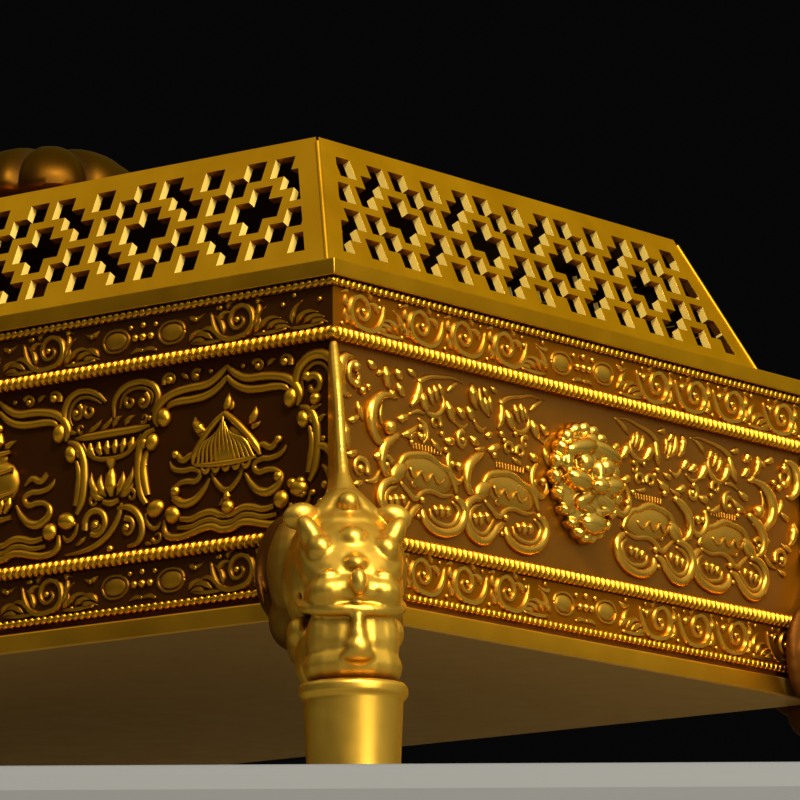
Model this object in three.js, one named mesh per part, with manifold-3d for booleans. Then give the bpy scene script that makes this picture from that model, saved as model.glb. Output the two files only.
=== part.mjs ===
import * as THREE from 'three';
import { mergeVertices } from 'three/addons/utils/BufferGeometryUtils.js';
import Module from 'manifold-3d';

// Copper incense burner: a long box on four beast-head legs under a hipped, pierced lid.
// Millimetres, +Z up, X along the long side, Z = 0 on the ground, origin under the middle.
// "Face" is the upright plane of each side at LENGTH / 2 or WIDTH / 2. A depth is how far a
// surface lies behind its face, so a negative depth stands in front of it.

// Box
const LENGTH = 174;
const WIDTH = 97;
const LEG_HEIGHT = 36;
const BASE_THICKNESS = 2.4;
const BASE_DEPTH = -0.3;
const WALL_DEPTH = 1.3;
const WALL_THICKNESS = 2.2;
const WALL_HEIGHT = 35.6;
const POST_SIZE = 4.6;
const POST_FLAT_DEPTH = 1.5;
const POST_BEAD_RADIUS = 1.15;
const POST_BEAD_DEPTH = 1.35;

// Ropes and friezes, with heights measured from the underside of the base plate
const ROPE_RADIUS = 0.75;
const THIN_ROPE_RADIUS = 0.42;
const ROPE_DEPTH = 0.45;
const ROPE_SIDES = 8;
const FOOT_ROPE_HEIGHT = 3.6;
const LOWER_ROPE_HEIGHT = 9.7;
const UPPER_ROPE_HEIGHT = 32.4;
const RIM_ROPE_HEIGHT = 38.4;
const FRIEZE_DEPTH = 0.8;
const FRIEZE_CLEARANCE = 0.1;

// Framed panels on the long walls
const FRAME_COUNT = 5;
const FRAME_MARGIN = 3.7;
const FRAME_WIDTH = 26;
const FRAME_HEIGHT = 18.6;
const FRAME_BORDER = 1.1;
const FRAME_RELIEF = 0.9;
const FRAME_SCOOP = 3.2;
const FRAME_PEAK = 1.2;

// Beast-mask bosses on the short walls
const MASK_WIDTH = 10.6;
const MASK_HEIGHT = 12.4;
const MASK_PLATE = 0.8;
const MASK_DOME = 1.5;
const MASK_RISE = 0.35;
const STUD_RADIUS = 1.4;
const STUD_CLEARANCE = 0.3;
const WASHER_RADIUS = 3.2;
const WASHER_THICKNESS = 1.2;

// Rim frame with the ledge that carries the liner
const RIM_DEPTH = 1;
const RIM_THICKNESS = 0.8;
const LEDGE_START = 6.1;
const LEDGE_END = 9.4;
const LEDGE_DROP = 1.4;
const LEDGE_THICKNESS = 1;
const RIM_INNER = 6.9;

// Liner pan and the rack that lies in it
const FLANGE_CLEARANCE = 0.2;
const PAN_CLEARANCE = 0.3;
const PAN_WALL = 0.9;
const PAN_FLOOR = 1;
const PAN_HEIGHT = 29;
const FLANGE_THICKNESS = 1;
const RACK_LENGTH = 116;
const RACK_WIDTH = 40;
const RACK_THICKNESS = 1.2;
const RACK_LIFT = 5;
const RACK_SLOTS = 13;
const RACK_SLOT_WIDTH = 3;
const RACK_BORDER = 5;
const RACK_FOOT_RADIUS = 2.2;
const RACK_FOOT_INSET = 3;

// Lid
const LID_GAP = 0.15;
const FASCIA_HEIGHT = 1.95;
const FASCIA_DEPTH = -0.2;
const LIP_CLEARANCE = 0.4;
const LIP_THICKNESS = 1.4;
const LIP_DROP = 2.4;
const LATTICE_DEPTH = 4.3;
const LATTICE_TOP_DEPTH = 12.4;
const LATTICE_RISE = 18.3;
const LATTICE_THICKNESS = 1;
const LATTICE_SEAM = 0.15;
const LID_TOP_THICKNESS = 1.6;

// Lattice pattern: square openings on a grid, laid corner over corner
const GRID_ROW = 1.93;
const GRID_TOP = 9.5;
const OPENING_HALF_WIDTH = 1.48;
const OPENING_HALF_HEIGHT = 1.4;
const LONG_CROSSES = 9;
const LONG_CROSS_END = 18.55;
const SHORT_CROSSES = 4;
const SHORT_CROSS_END = 23.9;
const HIP_BORDER = 3.2;
const SMALLEST_OPENING = 1.1;

// Knob
const KNOB_RADIUS = 13;
const KNOB_HEIGHT = 9;
const KNOB_LOBES = 8;
const KNOB_LOBE_DEPTH = 0.9;
const KNOB_RIM_HEIGHT = 2;
const KNOB_FULLNESS = 0.75;
const STEM_RADIUS = 3;
const STEM_HEIGHT = 7;
const STEM_SCREW_RADIUS = 1.5;
const STEM_SCREW_CLEARANCE = 0.3;
const NUT_ACROSS_CORNERS = 6.6;
const NUT_THICKNESS = 2.4;

// Legs, laid out along the diagonal that leaves the corner of the box
const LEG_REACH = 18.5;
const SHAFT_RADIUS = 5.45;
const ANKLE_RADIUS = 4.7;
const COLLAR_RADIUS = 6;
const COLLAR_DROP = 10.8;
const COLLAR_THICKNESS = 1.3;
const FOOT_RADIUS = 7.6;
const FOOT_HEIGHT = 7;
const TENON_RADIUS = 3;
const TENON_LENGTH = 6;
const TENON_CLEARANCE = 0.3;
const SHOE_LENGTH = 10;
const SHOE_THICKNESS = 1.8;
const SHOE_CLEARANCE = 0.35;
const SHOE_TOP = 12;
const SKULL_REACH = 14.5;
const SKULL_HALF_WIDTH = 5.6;
const SKULL_HALF_HEIGHT = 5.4;
const SKULL_HALF_DEPTH = 6.2;
const SKULL_RISE = 4.6;
const MUZZLE_REACH = 20.5;
const MUZZLE_HALF_WIDTH = 4.3;
const MUZZLE_HALF_HEIGHT = 3.6;
const MUZZLE_HALF_DEPTH = 4.6;
const EAR_RADIUS = 1.7;
const KEEL_HALF_WIDTH = 0.9;
const KEEL_CLEARANCE = 0.3;
const SCREW_RADIUS = 1;
const SCREW_CLEARANCE = 0.25;
const SCREW_HEAD_RADIUS = 1.6;
const SCREW_HEAD_THICKNESS = 1.4;
const SCREW_HEIGHT = 6.6;
const SCREW_BITE = 4;

// Worked out from the sizes above
const UNDERSIDE = LEG_HEIGHT;
const WALL_FOOT = UNDERSIDE + BASE_THICKNESS;
const WALL_TOP = WALL_FOOT + WALL_HEIGHT;
const RIM_TOP = WALL_TOP + RIM_THICKNESS;
const POST_BACK = WALL_DEPTH + POST_SIZE;
const LEDGE_TOP = WALL_TOP - LEDGE_DROP + LEDGE_THICKNESS;
const PAN_OUTER = LEDGE_END + PAN_CLEARANCE;
const PAN_INNER = PAN_OUTER + PAN_WALL;
const PAN_BOTTOM = LEDGE_TOP + FLANGE_THICKNESS - PAN_HEIGHT;
const LID_FOOT = RIM_TOP + LID_GAP;
const FASCIA_TOP = LID_FOOT + FASCIA_HEIGHT;
const LIP_OUTER = PAN_INNER + LIP_CLEARANCE;
const LIP_INNER = LIP_OUTER + LIP_THICKNESS;
const LID_TOP = FASCIA_TOP + LATTICE_RISE;
const LATTICE_RUN = LATTICE_TOP_DEPTH - LATTICE_DEPTH;
const LATTICE_SLANT = Math.hypot(LATTICE_RUN, LATTICE_RISE);
const LATTICE_PLAN = LATTICE_THICKNESS * LATTICE_SLANT / LATTICE_RISE;

const wasm = await Module();
wasm.setup();

// Materials

const gold = new THREE.MeshStandardMaterial({ color: 0xb07a1c, roughness: 0.36, metalness: 1 });
const paleGold = new THREE.MeshStandardMaterial({ color: 0xcf9a2e, roughness: 0.3, metalness: 1 });
const darkCopper = new THREE.MeshStandardMaterial({ color: 0x5a3110, roughness: 0.5, metalness: 1 });
const redCopper = new THREE.MeshStandardMaterial({ color: 0x9a5228, roughness: 0.42, metalness: 1 });

// Solids and how they are joined and cut

function toSolid(geometry) {
  const bare = geometry.index ? geometry.toNonIndexed() : geometry.clone();
  bare.deleteAttribute('normal');
  bare.deleteAttribute('uv');
  const merged = mergeVertices(bare, 1e-4);
  return new wasm.Manifold(new wasm.Mesh({
    numProp: 3,
    vertProperties: new Float32Array(merged.attributes.position.array),
    triVerts: new Uint32Array(merged.index.array),
  }));
}

function toGeometry(solid) {
  const mesh = solid.getMesh();
  const geometry = new THREE.BufferGeometry();
  geometry.setAttribute('position', new THREE.BufferAttribute(mesh.vertProperties, 3));
  geometry.setIndex(new THREE.BufferAttribute(mesh.triVerts, 1));
  return geometry;
}

function join(...geometries) {
  return toGeometry(geometries.map(toSolid).reduce((whole, next) => whole.add(next)));
}

function cut(geometry, ...tools) {
  return toGeometry(tools.map(toSolid).reduce((whole, tool) => whole.subtract(tool), toSolid(geometry)));
}

function trim(geometry, keep) {
  return toGeometry(toSolid(geometry).intersect(toSolid(keep)));
}

function slab(x0, x1, y0, y1, z0, z1) {
  const box = new THREE.BoxGeometry(x1 - x0, y1 - y0, z1 - z0);
  return box.translate((x0 + x1) / 2, (y0 + y1) / 2, (z0 + z1) / 2);
}

function upright(radius, z0, z1, sides) {
  const cylinder = new THREE.CylinderGeometry(radius, radius, z1 - z0, sides);
  return cylinder.rotateX(Math.PI / 2).translate(0, 0, (z0 + z1) / 2);
}

// A bar along X from x0 to x1 at height z, turned about Z afterwards where it lies on a diagonal
function bar(radius, x0, x1, z, sides) {
  const cylinder = new THREE.CylinderGeometry(radius, radius, x1 - x0, sides);
  return cylinder.rotateZ(Math.PI / 2).translate((x0 + x1) / 2, 0, z);
}

// A closed ring round the box: each profile point is [depth behind the face, height]
function ring(profile) {
  const corners = [[1, -1], [1, 1], [-1, 1], [-1, -1]];
  const positions = [];
  for (const [sx, sy] of corners) {
    for (const [depth, z] of profile) {
      positions.push(sx * (LENGTH / 2 - depth), sy * (WIDTH / 2 - depth), z);
    }
  }
  const index = [];
  const count = profile.length;
  for (let corner = 0; corner < corners.length; corner += 1) {
    const next = (corner + 1) % corners.length;
    for (let point = 0; point < count; point += 1) {
      const other = (point + 1) % count;
      const a = corner * count + point;
      const b = next * count + point;
      const c = next * count + other;
      const d = corner * count + other;
      index.push(a, b, c, a, c, d);
    }
  }
  const geometry = new THREE.BufferGeometry();
  geometry.setAttribute('position', new THREE.Float32BufferAttribute(positions, 3));
  geometry.setIndex(index);
  return geometry;
}

function ringBand(outerDepth, innerDepth, z0, z1) {
  return ring([[outerDepth, z0], [outerDepth, z1], [innerDepth, z1], [innerDepth, z0]]);
}

function ringRope(radius, z) {
  const profile = [];
  for (let side = 0; side < ROPE_SIDES; side += 1) {
    const angle = 2 * Math.PI * (side + 0.5) / ROPE_SIDES;
    profile.push([ROPE_DEPTH - radius * Math.cos(angle), z + radius * Math.sin(angle)]);
  }
  return ring(profile);
}

// A rectangular block whose top face is wider or narrower all round than its foot by spread
function taperedSlab(halfX, halfY, z0, spread, z1) {
  const block = new THREE.CylinderGeometry(1, 1, z1 - z0, 4, 1).rotateX(Math.PI / 2).rotateZ(Math.PI / 4);
  block.translate(0, 0, (z0 + z1) / 2);
  const place = block.attributes.position;
  for (let i = 0; i < place.count; i += 1) {
    const out = place.getZ(i) > (z0 + z1) / 2 ? spread : 0;
    const x = Math.abs(place.getX(i)) < 1e-6 ? 0 : Math.sign(place.getX(i)) * (halfX + out);
    const y = Math.abs(place.getY(i)) < 1e-6 ? 0 : Math.sign(place.getY(i)) * (halfY + out);
    place.setXY(i, x, y);
  }
  return block;
}

const burner = new THREE.Group();

function addPiece(name, geometry, material, parent = burner) {
  const mesh = new THREE.Mesh(geometry, material);
  mesh.name = name;
  parent.add(mesh);
  return mesh;
}

const corners = [
  { name: 'front_right', x: LENGTH / 2, y: -WIDTH / 2, turn: -Math.PI / 4 },
  { name: 'back_right', x: LENGTH / 2, y: WIDTH / 2, turn: Math.PI / 4 },
  { name: 'back_left', x: -LENGTH / 2, y: WIDTH / 2, turn: 3 * Math.PI / 4 },
  { name: 'front_left', x: -LENGTH / 2, y: -WIDTH / 2, turn: -3 * Math.PI / 4 },
];

// Moves a shape laid out along the diagonal, with its corner at the origin, to a corner of the box
function atCorner(geometry, corner) {
  return geometry.rotateZ(corner.turn).translate(corner.x, corner.y, 0);
}

// Base plate, walls and corner posts

const screwZ = UNDERSIDE + SCREW_HEIGHT;
const postFlat = -(WALL_DEPTH + POST_SIZE) * Math.SQRT2 + POST_FLAT_DEPTH;

function screwHole(corner, radius) {
  return atCorner(bar(radius, postFlat - SCREW_HEAD_THICKNESS, SHOE_TOP, screwZ, 12), corner);
}

function basePlate() {
  const x = LENGTH / 2 - BASE_DEPTH;
  const y = WIDTH / 2 - BASE_DEPTH;
  return slab(-x, x, -y, y, UNDERSIDE, WALL_FOOT);
}

// Outline of the framed field: straight sides, scooped corners and a low point in the top edge
function frameOutline(halfWidth, halfHeight) {
  const scoop = FRAME_SCOOP;
  const peak = FRAME_PEAK;
  const shape = new THREE.Shape();
  shape.moveTo(-halfWidth + scoop, -halfHeight);
  shape.lineTo(halfWidth - scoop, -halfHeight);
  shape.quadraticCurveTo(halfWidth - scoop, -halfHeight + scoop, halfWidth, -halfHeight + scoop);
  shape.lineTo(halfWidth, halfHeight - scoop - peak);
  shape.quadraticCurveTo(halfWidth - scoop, halfHeight - scoop - peak, halfWidth - scoop, halfHeight - peak);
  shape.lineTo(0, halfHeight);
  shape.lineTo(-halfWidth + scoop, halfHeight - peak);
  shape.quadraticCurveTo(-halfWidth + scoop, halfHeight - scoop - peak, -halfWidth, halfHeight - scoop - peak);
  shape.lineTo(-halfWidth, -halfHeight + scoop);
  shape.quadraticCurveTo(-halfWidth + scoop, -halfHeight + scoop, -halfWidth + scoop, -halfHeight);
  return shape;
}

function panelFrame() {
  const outline = frameOutline(FRAME_WIDTH / 2, FRAME_HEIGHT / 2);
  const opening = frameOutline(FRAME_WIDTH / 2 - FRAME_BORDER, FRAME_HEIGHT / 2 - FRAME_BORDER);
  outline.holes.push(opening);
  const options = { depth: FRAME_RELIEF + WALL_THICKNESS / 2, bevelEnabled: false, curveSegments: 4 };
  return new THREE.ExtrudeGeometry(outline, options).rotateX(Math.PI / 2);
}

function longWall() {
  const half = LENGTH / 2 - POST_BACK;
  const face = -WIDTH / 2 + WALL_DEPTH;
  const wall = slab(-half, half, face, face + WALL_THICKNESS, WALL_FOOT, WALL_TOP);
  const first = -LENGTH / 2 + FRAME_MARGIN + FRAME_WIDTH / 2;
  const pitch = -2 * first / (FRAME_COUNT - 1);
  const middle = UNDERSIDE + (LOWER_ROPE_HEIGHT + UPPER_ROPE_HEIGHT) / 2;
  const frames = [];
  for (let i = 0; i < FRAME_COUNT; i += 1) {
    frames.push(panelFrame().translate(first + i * pitch, face + WALL_THICKNESS / 2, middle));
  }
  const postSpace = slab(half, LENGTH / 2, face, face + POST_SIZE, WALL_FOOT, WALL_TOP);
  const otherPostSpace = postSpace.clone().rotateZ(Math.PI).translate(0, 2 * face + POST_SIZE, 0);
  return cut(join(wall, ...frames), postSpace, otherPostSpace);
}

const maskZ = UNDERSIDE + (LOWER_ROPE_HEIGHT + UPPER_ROPE_HEIGHT) / 2 + MASK_RISE;

function shortWall() {
  const half = WIDTH / 2 - POST_BACK;
  const face = LENGTH / 2 - WALL_DEPTH;
  const wall = slab(face - WALL_THICKNESS, face, -half, half, WALL_FOOT, WALL_TOP);
  const hole = bar(STUD_RADIUS + STUD_CLEARANCE, face - 2 * WALL_THICKNESS, face + WALL_THICKNESS, maskZ, 16);
  return cut(wall, hole);
}

// A square post with a round bead down its outside and a flat on its inner edge for the leg screw
function cornerPost(corner) {
  const sx = Math.sign(corner.x);
  const sy = Math.sign(corner.y);
  const block = new THREE.BoxGeometry(POST_SIZE, POST_SIZE, WALL_HEIGHT);
  const centre = WALL_DEPTH + POST_SIZE / 2;
  block.translate(corner.x - sx * centre, corner.y - sy * centre, WALL_FOOT + WALL_HEIGHT / 2);
  const beadFoot = UNDERSIDE + LOWER_ROPE_HEIGHT + ROPE_RADIUS + FRIEZE_CLEARANCE;
  const beadTop = UNDERSIDE + UPPER_ROPE_HEIGHT - ROPE_RADIUS - FRIEZE_CLEARANCE;
  const bead = upright(POST_BEAD_RADIUS, beadFoot, beadTop, 16);
  bead.translate(corner.x - sx * POST_BEAD_DEPTH, corner.y - sy * POST_BEAD_DEPTH, 0);
  const shaving = slab(postFlat - POST_SIZE, postFlat, -POST_SIZE, POST_SIZE, WALL_FOOT - 1, WALL_TOP + 1);
  return cut(join(block, bead), atCorner(shaving, corner), screwHole(corner, SCREW_RADIUS + SCREW_CLEARANCE));
}

function lowerFrieze() {
  const z0 = UNDERSIDE + FOOT_ROPE_HEIGHT + THIN_ROPE_RADIUS + FRIEZE_CLEARANCE;
  const z1 = UNDERSIDE + LOWER_ROPE_HEIGHT - ROPE_RADIUS - FRIEZE_CLEARANCE;
  const holes = corners.map((corner) => screwHole(corner, SCREW_RADIUS + SCREW_CLEARANCE));
  return cut(ringBand(FRIEZE_DEPTH, WALL_DEPTH, z0, z1), ...holes);
}

function upperFrieze() {
  const z0 = UNDERSIDE + UPPER_ROPE_HEIGHT + ROPE_RADIUS + FRIEZE_CLEARANCE;
  const z1 = UNDERSIDE + RIM_ROPE_HEIGHT - THIN_ROPE_RADIUS - FRIEZE_CLEARANCE;
  return ringBand(FRIEZE_DEPTH, WALL_DEPTH, z0, z1);
}

addPiece('base_plate', basePlate(), gold);
addPiece('wall_front', longWall(), darkCopper);
addPiece('wall_back', longWall().rotateZ(Math.PI), darkCopper);
addPiece('wall_right', shortWall(), gold);
addPiece('wall_left', shortWall().rotateZ(Math.PI), gold);
for (const corner of corners) {
  addPiece(`corner_post_${corner.name}`, cornerPost(corner), gold);
}
addPiece('foot_rope', ringRope(THIN_ROPE_RADIUS, UNDERSIDE + FOOT_ROPE_HEIGHT), paleGold);
addPiece('lower_frieze', lowerFrieze(), darkCopper);
addPiece('lower_rope', ringRope(ROPE_RADIUS, UNDERSIDE + LOWER_ROPE_HEIGHT), paleGold);
addPiece('upper_rope', ringRope(ROPE_RADIUS, UNDERSIDE + UPPER_ROPE_HEIGHT), paleGold);
addPiece('upper_frieze', upperFrieze(), darkCopper);
addPiece('rim_rope', ringRope(THIN_ROPE_RADIUS, UNDERSIDE + RIM_ROPE_HEIGHT), paleGold);

// Rim frame

function rimFrame() {
  return ring([
    [RIM_DEPTH, WALL_TOP],
    [RIM_DEPTH, RIM_TOP],
    [RIM_INNER, RIM_TOP],
    [RIM_INNER, LEDGE_TOP],
    [LEDGE_END, LEDGE_TOP],
    [LEDGE_END, LEDGE_TOP - LEDGE_THICKNESS],
    [LEDGE_START, LEDGE_TOP - LEDGE_THICKNESS],
    [LEDGE_START, WALL_TOP],
  ]);
}

addPiece('rim_frame', rimFrame(), gold);

// Mask bosses, each with a stud through the wall and a washer riveted on behind

function maskOutline(width, height) {
  const shape = new THREE.Shape();
  shape.moveTo(0, -height / 2);
  shape.bezierCurveTo(width * 0.28, -height / 2, width / 2, -height * 0.12, width / 2, height * 0.12);
  shape.bezierCurveTo(width / 2, height * 0.38, width * 0.27, height / 2, 0, height / 2);
  shape.bezierCurveTo(-width * 0.27, height / 2, -width / 2, height * 0.38, -width / 2, height * 0.12);
  shape.bezierCurveTo(-width / 2, -height * 0.12, -width * 0.28, -height / 2, 0, -height / 2);
  return shape;
}

function maskBoss() {
  const face = LENGTH / 2 - WALL_DEPTH;
  const options = {
    depth: MASK_PLATE,
    bevelThickness: MASK_DOME,
    bevelSize: MASK_DOME,
    bevelSegments: 3,
    curveSegments: 6,
  };
  const dome = new THREE.ExtrudeGeometry(maskOutline(MASK_WIDTH, MASK_HEIGHT), options);
  dome.rotateX(Math.PI / 2).rotateZ(Math.PI / 2).translate(face, 0, maskZ);
  const half = MASK_HEIGHT;
  const front = trim(dome, slab(face, face + MASK_PLATE + 2 * MASK_DOME, -half, half, maskZ - half, maskZ + half));
  const studEnd = face - WALL_THICKNESS - WASHER_THICKNESS;
  return join(front, bar(STUD_RADIUS, studEnd, face + MASK_PLATE / 2, maskZ, 12));
}

function maskWasher() {
  const back = LENGTH / 2 - WALL_DEPTH - WALL_THICKNESS;
  const disc = bar(WASHER_RADIUS, back - WASHER_THICKNESS, back, maskZ, 20);
  return cut(disc, bar(STUD_RADIUS + STUD_CLEARANCE, back - 2 * WASHER_THICKNESS, back + 1, maskZ, 12));
}

addPiece('mask_right', maskBoss(), paleGold);
addPiece('mask_left', maskBoss().rotateZ(Math.PI), paleGold);
addPiece('mask_washer_right', maskWasher(), redCopper);
addPiece('mask_washer_left', maskWasher().rotateZ(Math.PI), redCopper);

// Liner pan and incense rack

function linerPan() {
  const x = LENGTH / 2 - PAN_OUTER;
  const y = WIDTH / 2 - PAN_OUTER;
  const flangeTop = PAN_BOTTOM + PAN_HEIGHT;
  const flange = ringBand(RIM_INNER + FLANGE_CLEARANCE, PAN_OUTER + PAN_WALL / 2, LEDGE_TOP, flangeTop);
  const outside = slab(-x, x, -y, y, PAN_BOTTOM, flangeTop);
  const inX = x - PAN_WALL;
  const inY = y - PAN_WALL;
  const inside = slab(-inX, inX, -inY, inY, PAN_BOTTOM + PAN_FLOOR, flangeTop + 1);
  return cut(join(outside, flange), inside);
}

function incenseRack() {
  const floor = PAN_BOTTOM + PAN_FLOOR;
  const x = RACK_LENGTH / 2;
  const y = RACK_WIDTH / 2;
  const plate = slab(-x, x, -y, y, floor + RACK_LIFT, floor + RACK_LIFT + RACK_THICKNESS);
  const feet = [];
  for (const [sx, sy] of [[1, 1], [1, -1], [-1, 1], [-1, -1]]) {
    const foot = upright(RACK_FOOT_RADIUS, floor, floor + RACK_LIFT + RACK_THICKNESS / 2, 12);
    feet.push(foot.translate(sx * (x - RACK_FOOT_INSET), sy * (y - RACK_FOOT_INSET), 0));
  }
  const slots = [];
  const pitch = (RACK_LENGTH - 2 * RACK_BORDER - RACK_SLOT_WIDTH) / (RACK_SLOTS - 1);
  for (let i = 0; i < RACK_SLOTS; i += 1) {
    const middle = -x + RACK_BORDER + RACK_SLOT_WIDTH / 2 + i * pitch;
    const half = RACK_SLOT_WIDTH / 2;
    const end = y - RACK_BORDER - RACK_FOOT_RADIUS;
    slots.push(slab(middle - half, middle + half, -end, end, floor, floor + 2 * RACK_LIFT));
  }
  return cut(join(plate, ...feet), ...slots);
}

addPiece('liner_pan', linerPan(), redCopper);
addPiece('incense_rack', incenseRack(), paleGold);

// Lid frame: the plain fascia with a locating lip under it

function lidFrame() {
  return ring([
    [FASCIA_DEPTH, LID_FOOT],
    [FASCIA_DEPTH, FASCIA_TOP],
    [LIP_INNER, FASCIA_TOP],
    [LIP_INNER, LID_FOOT - LIP_DROP],
    [LIP_OUTER, LID_FOOT - LIP_DROP],
    [LIP_OUTER, LID_FOOT],
  ]);
}

addPiece('lid_frame', lidFrame(), gold);

// Lattice openings: groups of square cells on a grid round the middle of each cross, in steps of
// one column across and one row up

// Three cells in a stair round one arm of the cross, as one closed outline
function stairOutline(place, sx, sy) {
  const w = OPENING_HALF_WIDTH;
  const h = OPENING_HALF_HEIGHT;
  const [a, b, c] = [place(1, 3, sx, sy), place(2, 2, sx, sy), place(3, 1, sx, sy)];
  return [
    [a[0] - sx * w, a[1] + sy * h],
    [a[0] + sx * w, a[1] + sy * h],
    [a[0] + sx * w, b[1] + sy * h],
    [b[0] + sx * w, b[1] + sy * h],
    [b[0] + sx * w, c[1] + sy * h],
    [c[0] + sx * w, c[1] + sy * h],
    [c[0] + sx * w, c[1] - sy * h],
    [c[0] - sx * w, c[1] - sy * h],
    [c[0] - sx * w, b[1] - sy * h],
    [b[0] - sx * w, b[1] - sy * h],
    [b[0] - sx * w, a[1] - sy * h],
    [a[0] - sx * w, a[1] - sy * h],
  ];
}

function crossOutline(place) {
  const w = OPENING_HALF_WIDTH;
  const h = OPENING_HALF_HEIGHT;
  const [x, y] = place(0, 0, 1, 1);
  const right = place(1, 0, 1, 1)[0] - x + w;
  const top = place(0, 1, 1, 1)[1] - y + h;
  return [
    [x - w, y + top], [x + w, y + top], [x + w, y + h], [x + right, y + h],
    [x + right, y - h], [x + w, y - h], [x + w, y - top], [x - w, y - top],
    [x - w, y - h], [x - right, y - h], [x - right, y + h], [x - w, y + h],
  ];
}

function squareOutline([x, y]) {
  const w = OPENING_HALF_WIDTH;
  const h = OPENING_HALF_HEIGHT;
  return [[x - w, y + h], [x + w, y + h], [x + w, y - h], [x - w, y - h]];
}

// All openings of one slope, with x along the slope and y up it, both from its top edge's middle
function latticeOutlines(side, crosses, crossEnd) {
  const pitch = (side - 2 * crossEnd) / (crosses - 1);
  const column = pitch / 8;
  const outlines = [];
  for (let i = -1; i <= crosses; i += 1) {
    const centre = -side / 2 + crossEnd + i * pitch;
    const place = (col, row, sx, sy) => [centre + sx * col * column, -GRID_TOP + sy * row * GRID_ROW];
    outlines.push(crossOutline(place));
    for (const [sx, sy] of [[1, 1], [-1, 1], [-1, -1], [1, -1]]) {
      outlines.push(stairOutline(place, sx, sy));
    }
    for (const sy of [1, -1]) {
      outlines.push(squareOutline(place(4, 3, 1, sy)));
    }
  }
  return outlines;
}

// Keeps the part of a closed outline that lies inside a slanted hip border
function clipOutline(points, limit) {
  const inside = points.map(limit);
  const kept = [];
  for (let i = 0; i < points.length; i += 1) {
    const next = (i + 1) % points.length;
    if (inside[i] >= 0) kept.push(points[i]);
    if ((inside[i] >= 0) !== (inside[next] >= 0)) {
      const share = inside[i] / (inside[i] - inside[next]);
      kept.push([0, 1].map((axis) => points[i][axis] + share * (points[next][axis] - points[i][axis])));
    }
  }
  return kept;
}

function outlineArea(points) {
  const turns = points.map(([x, y], i) => {
    const [nextX, nextY] = points[(i + 1) % points.length];
    return x * nextY - nextX * y;
  });
  return turns.reduce((sum, turn) => sum + turn, 0) / 2;
}

// Trapezium of one slope with its hip edges drawn in by a border
function slopeShape(side, border) {
  const topHalf = side / 2 - LATTICE_TOP_DEPTH - border;
  const footHalf = topHalf + LATTICE_RUN;
  const shape = new THREE.Shape();
  shape.moveTo(-topHalf, 0);
  shape.lineTo(-footHalf, -LATTICE_SLANT);
  shape.lineTo(footHalf, -LATTICE_SLANT);
  shape.lineTo(topHalf, 0);
  shape.closePath();
  return shape;
}

// The openings that show enough of themselves inside the hip borders, as one group of prisms
function latticeOpenings(side, crosses, crossEnd, depth) {
  const hipSlope = LATTICE_RUN / LATTICE_SLANT;
  const limit = side / 2 - LATTICE_TOP_DEPTH - HIP_BORDER;
  const smallest = SMALLEST_OPENING * 2 * OPENING_HALF_HEIGHT;
  const shapes = [];
  for (const outline of latticeOutlines(side, crosses, crossEnd)) {
    const right = clipOutline(outline, ([x, y]) => limit - hipSlope * y - x);
    const both = clipOutline(right, ([x, y]) => limit - hipSlope * y + x);
    if (both.length > 2 && Math.abs(outlineArea(both)) > smallest) {
      shapes.push(new THREE.Shape(outline.map(([x, y]) => new THREE.Vector2(x, y))));
    }
  }
  const prisms = new THREE.ExtrudeGeometry(shapes, { depth: 3 * depth, bevelEnabled: false });
  const field = new THREE.ExtrudeGeometry(slopeShape(side, HIP_BORDER), { depth: 2 * depth, bevelEnabled: false });
  return trim(prisms.translate(0, 0, -2 * depth), field.translate(0, 0, -1.5 * depth));
}

// One pierced slope of the lid, built for the front and turned to its own side
function latticePanel(side, otherSide, crosses, crossEnd) {
  const options = { depth: LATTICE_THICKNESS, bevelEnabled: false };
  const plate = new THREE.ExtrudeGeometry(slopeShape(side, 0), options).translate(0, 0, -LATTICE_THICKNESS);
  const pierced = cut(plate, latticeOpenings(side, crosses, crossEnd, LATTICE_THICKNESS));
  const lean = Math.atan2(LATTICE_RUN, LATTICE_RISE);
  pierced.rotateX(Math.PI / 2 - lean).translate(0, -otherSide / 2 + LATTICE_TOP_DEPTH, LID_TOP);
  return trim(pierced, hipWedge(side, otherSide));
}

// Upright wedge of plan that one slope may fill, from the lid frame up to the lid top
function hipWedge(side, otherSide) {
  const reach = LATTICE_TOP_DEPTH + LATTICE_PLAN;
  const seam = LATTICE_SEAM * Math.SQRT2;
  const shape = new THREE.Shape();
  shape.moveTo(-side / 2 + seam, -otherSide / 2);
  shape.lineTo(side / 2 - seam, -otherSide / 2);
  shape.lineTo(side / 2 - seam - reach, -otherSide / 2 + reach);
  shape.lineTo(-side / 2 + seam + reach, -otherSide / 2 + reach);
  shape.closePath();
  const wedge = new THREE.ExtrudeGeometry(shape, { depth: LATTICE_RISE - LATTICE_SEAM, bevelEnabled: false });
  return wedge.translate(0, 0, FASCIA_TOP + LATTICE_SEAM);
}

// Flat top plate between the four slopes, cut to lie against their inner faces
function lidTopPlate() {
  const inset = LATTICE_TOP_DEPTH + LATTICE_PLAN + LATTICE_SEAM;
  const spread = LID_TOP_THICKNESS * LATTICE_RUN / LATTICE_RISE;
  const foot = LID_TOP - LID_TOP_THICKNESS;
  const plate = taperedSlab(LENGTH / 2 - inset + spread, WIDTH / 2 - inset + spread, foot, -spread, LID_TOP);
  return cut(plate, upright(STEM_SCREW_RADIUS + STEM_SCREW_CLEARANCE, foot - 1, LID_TOP + 1, 16));
}

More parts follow.
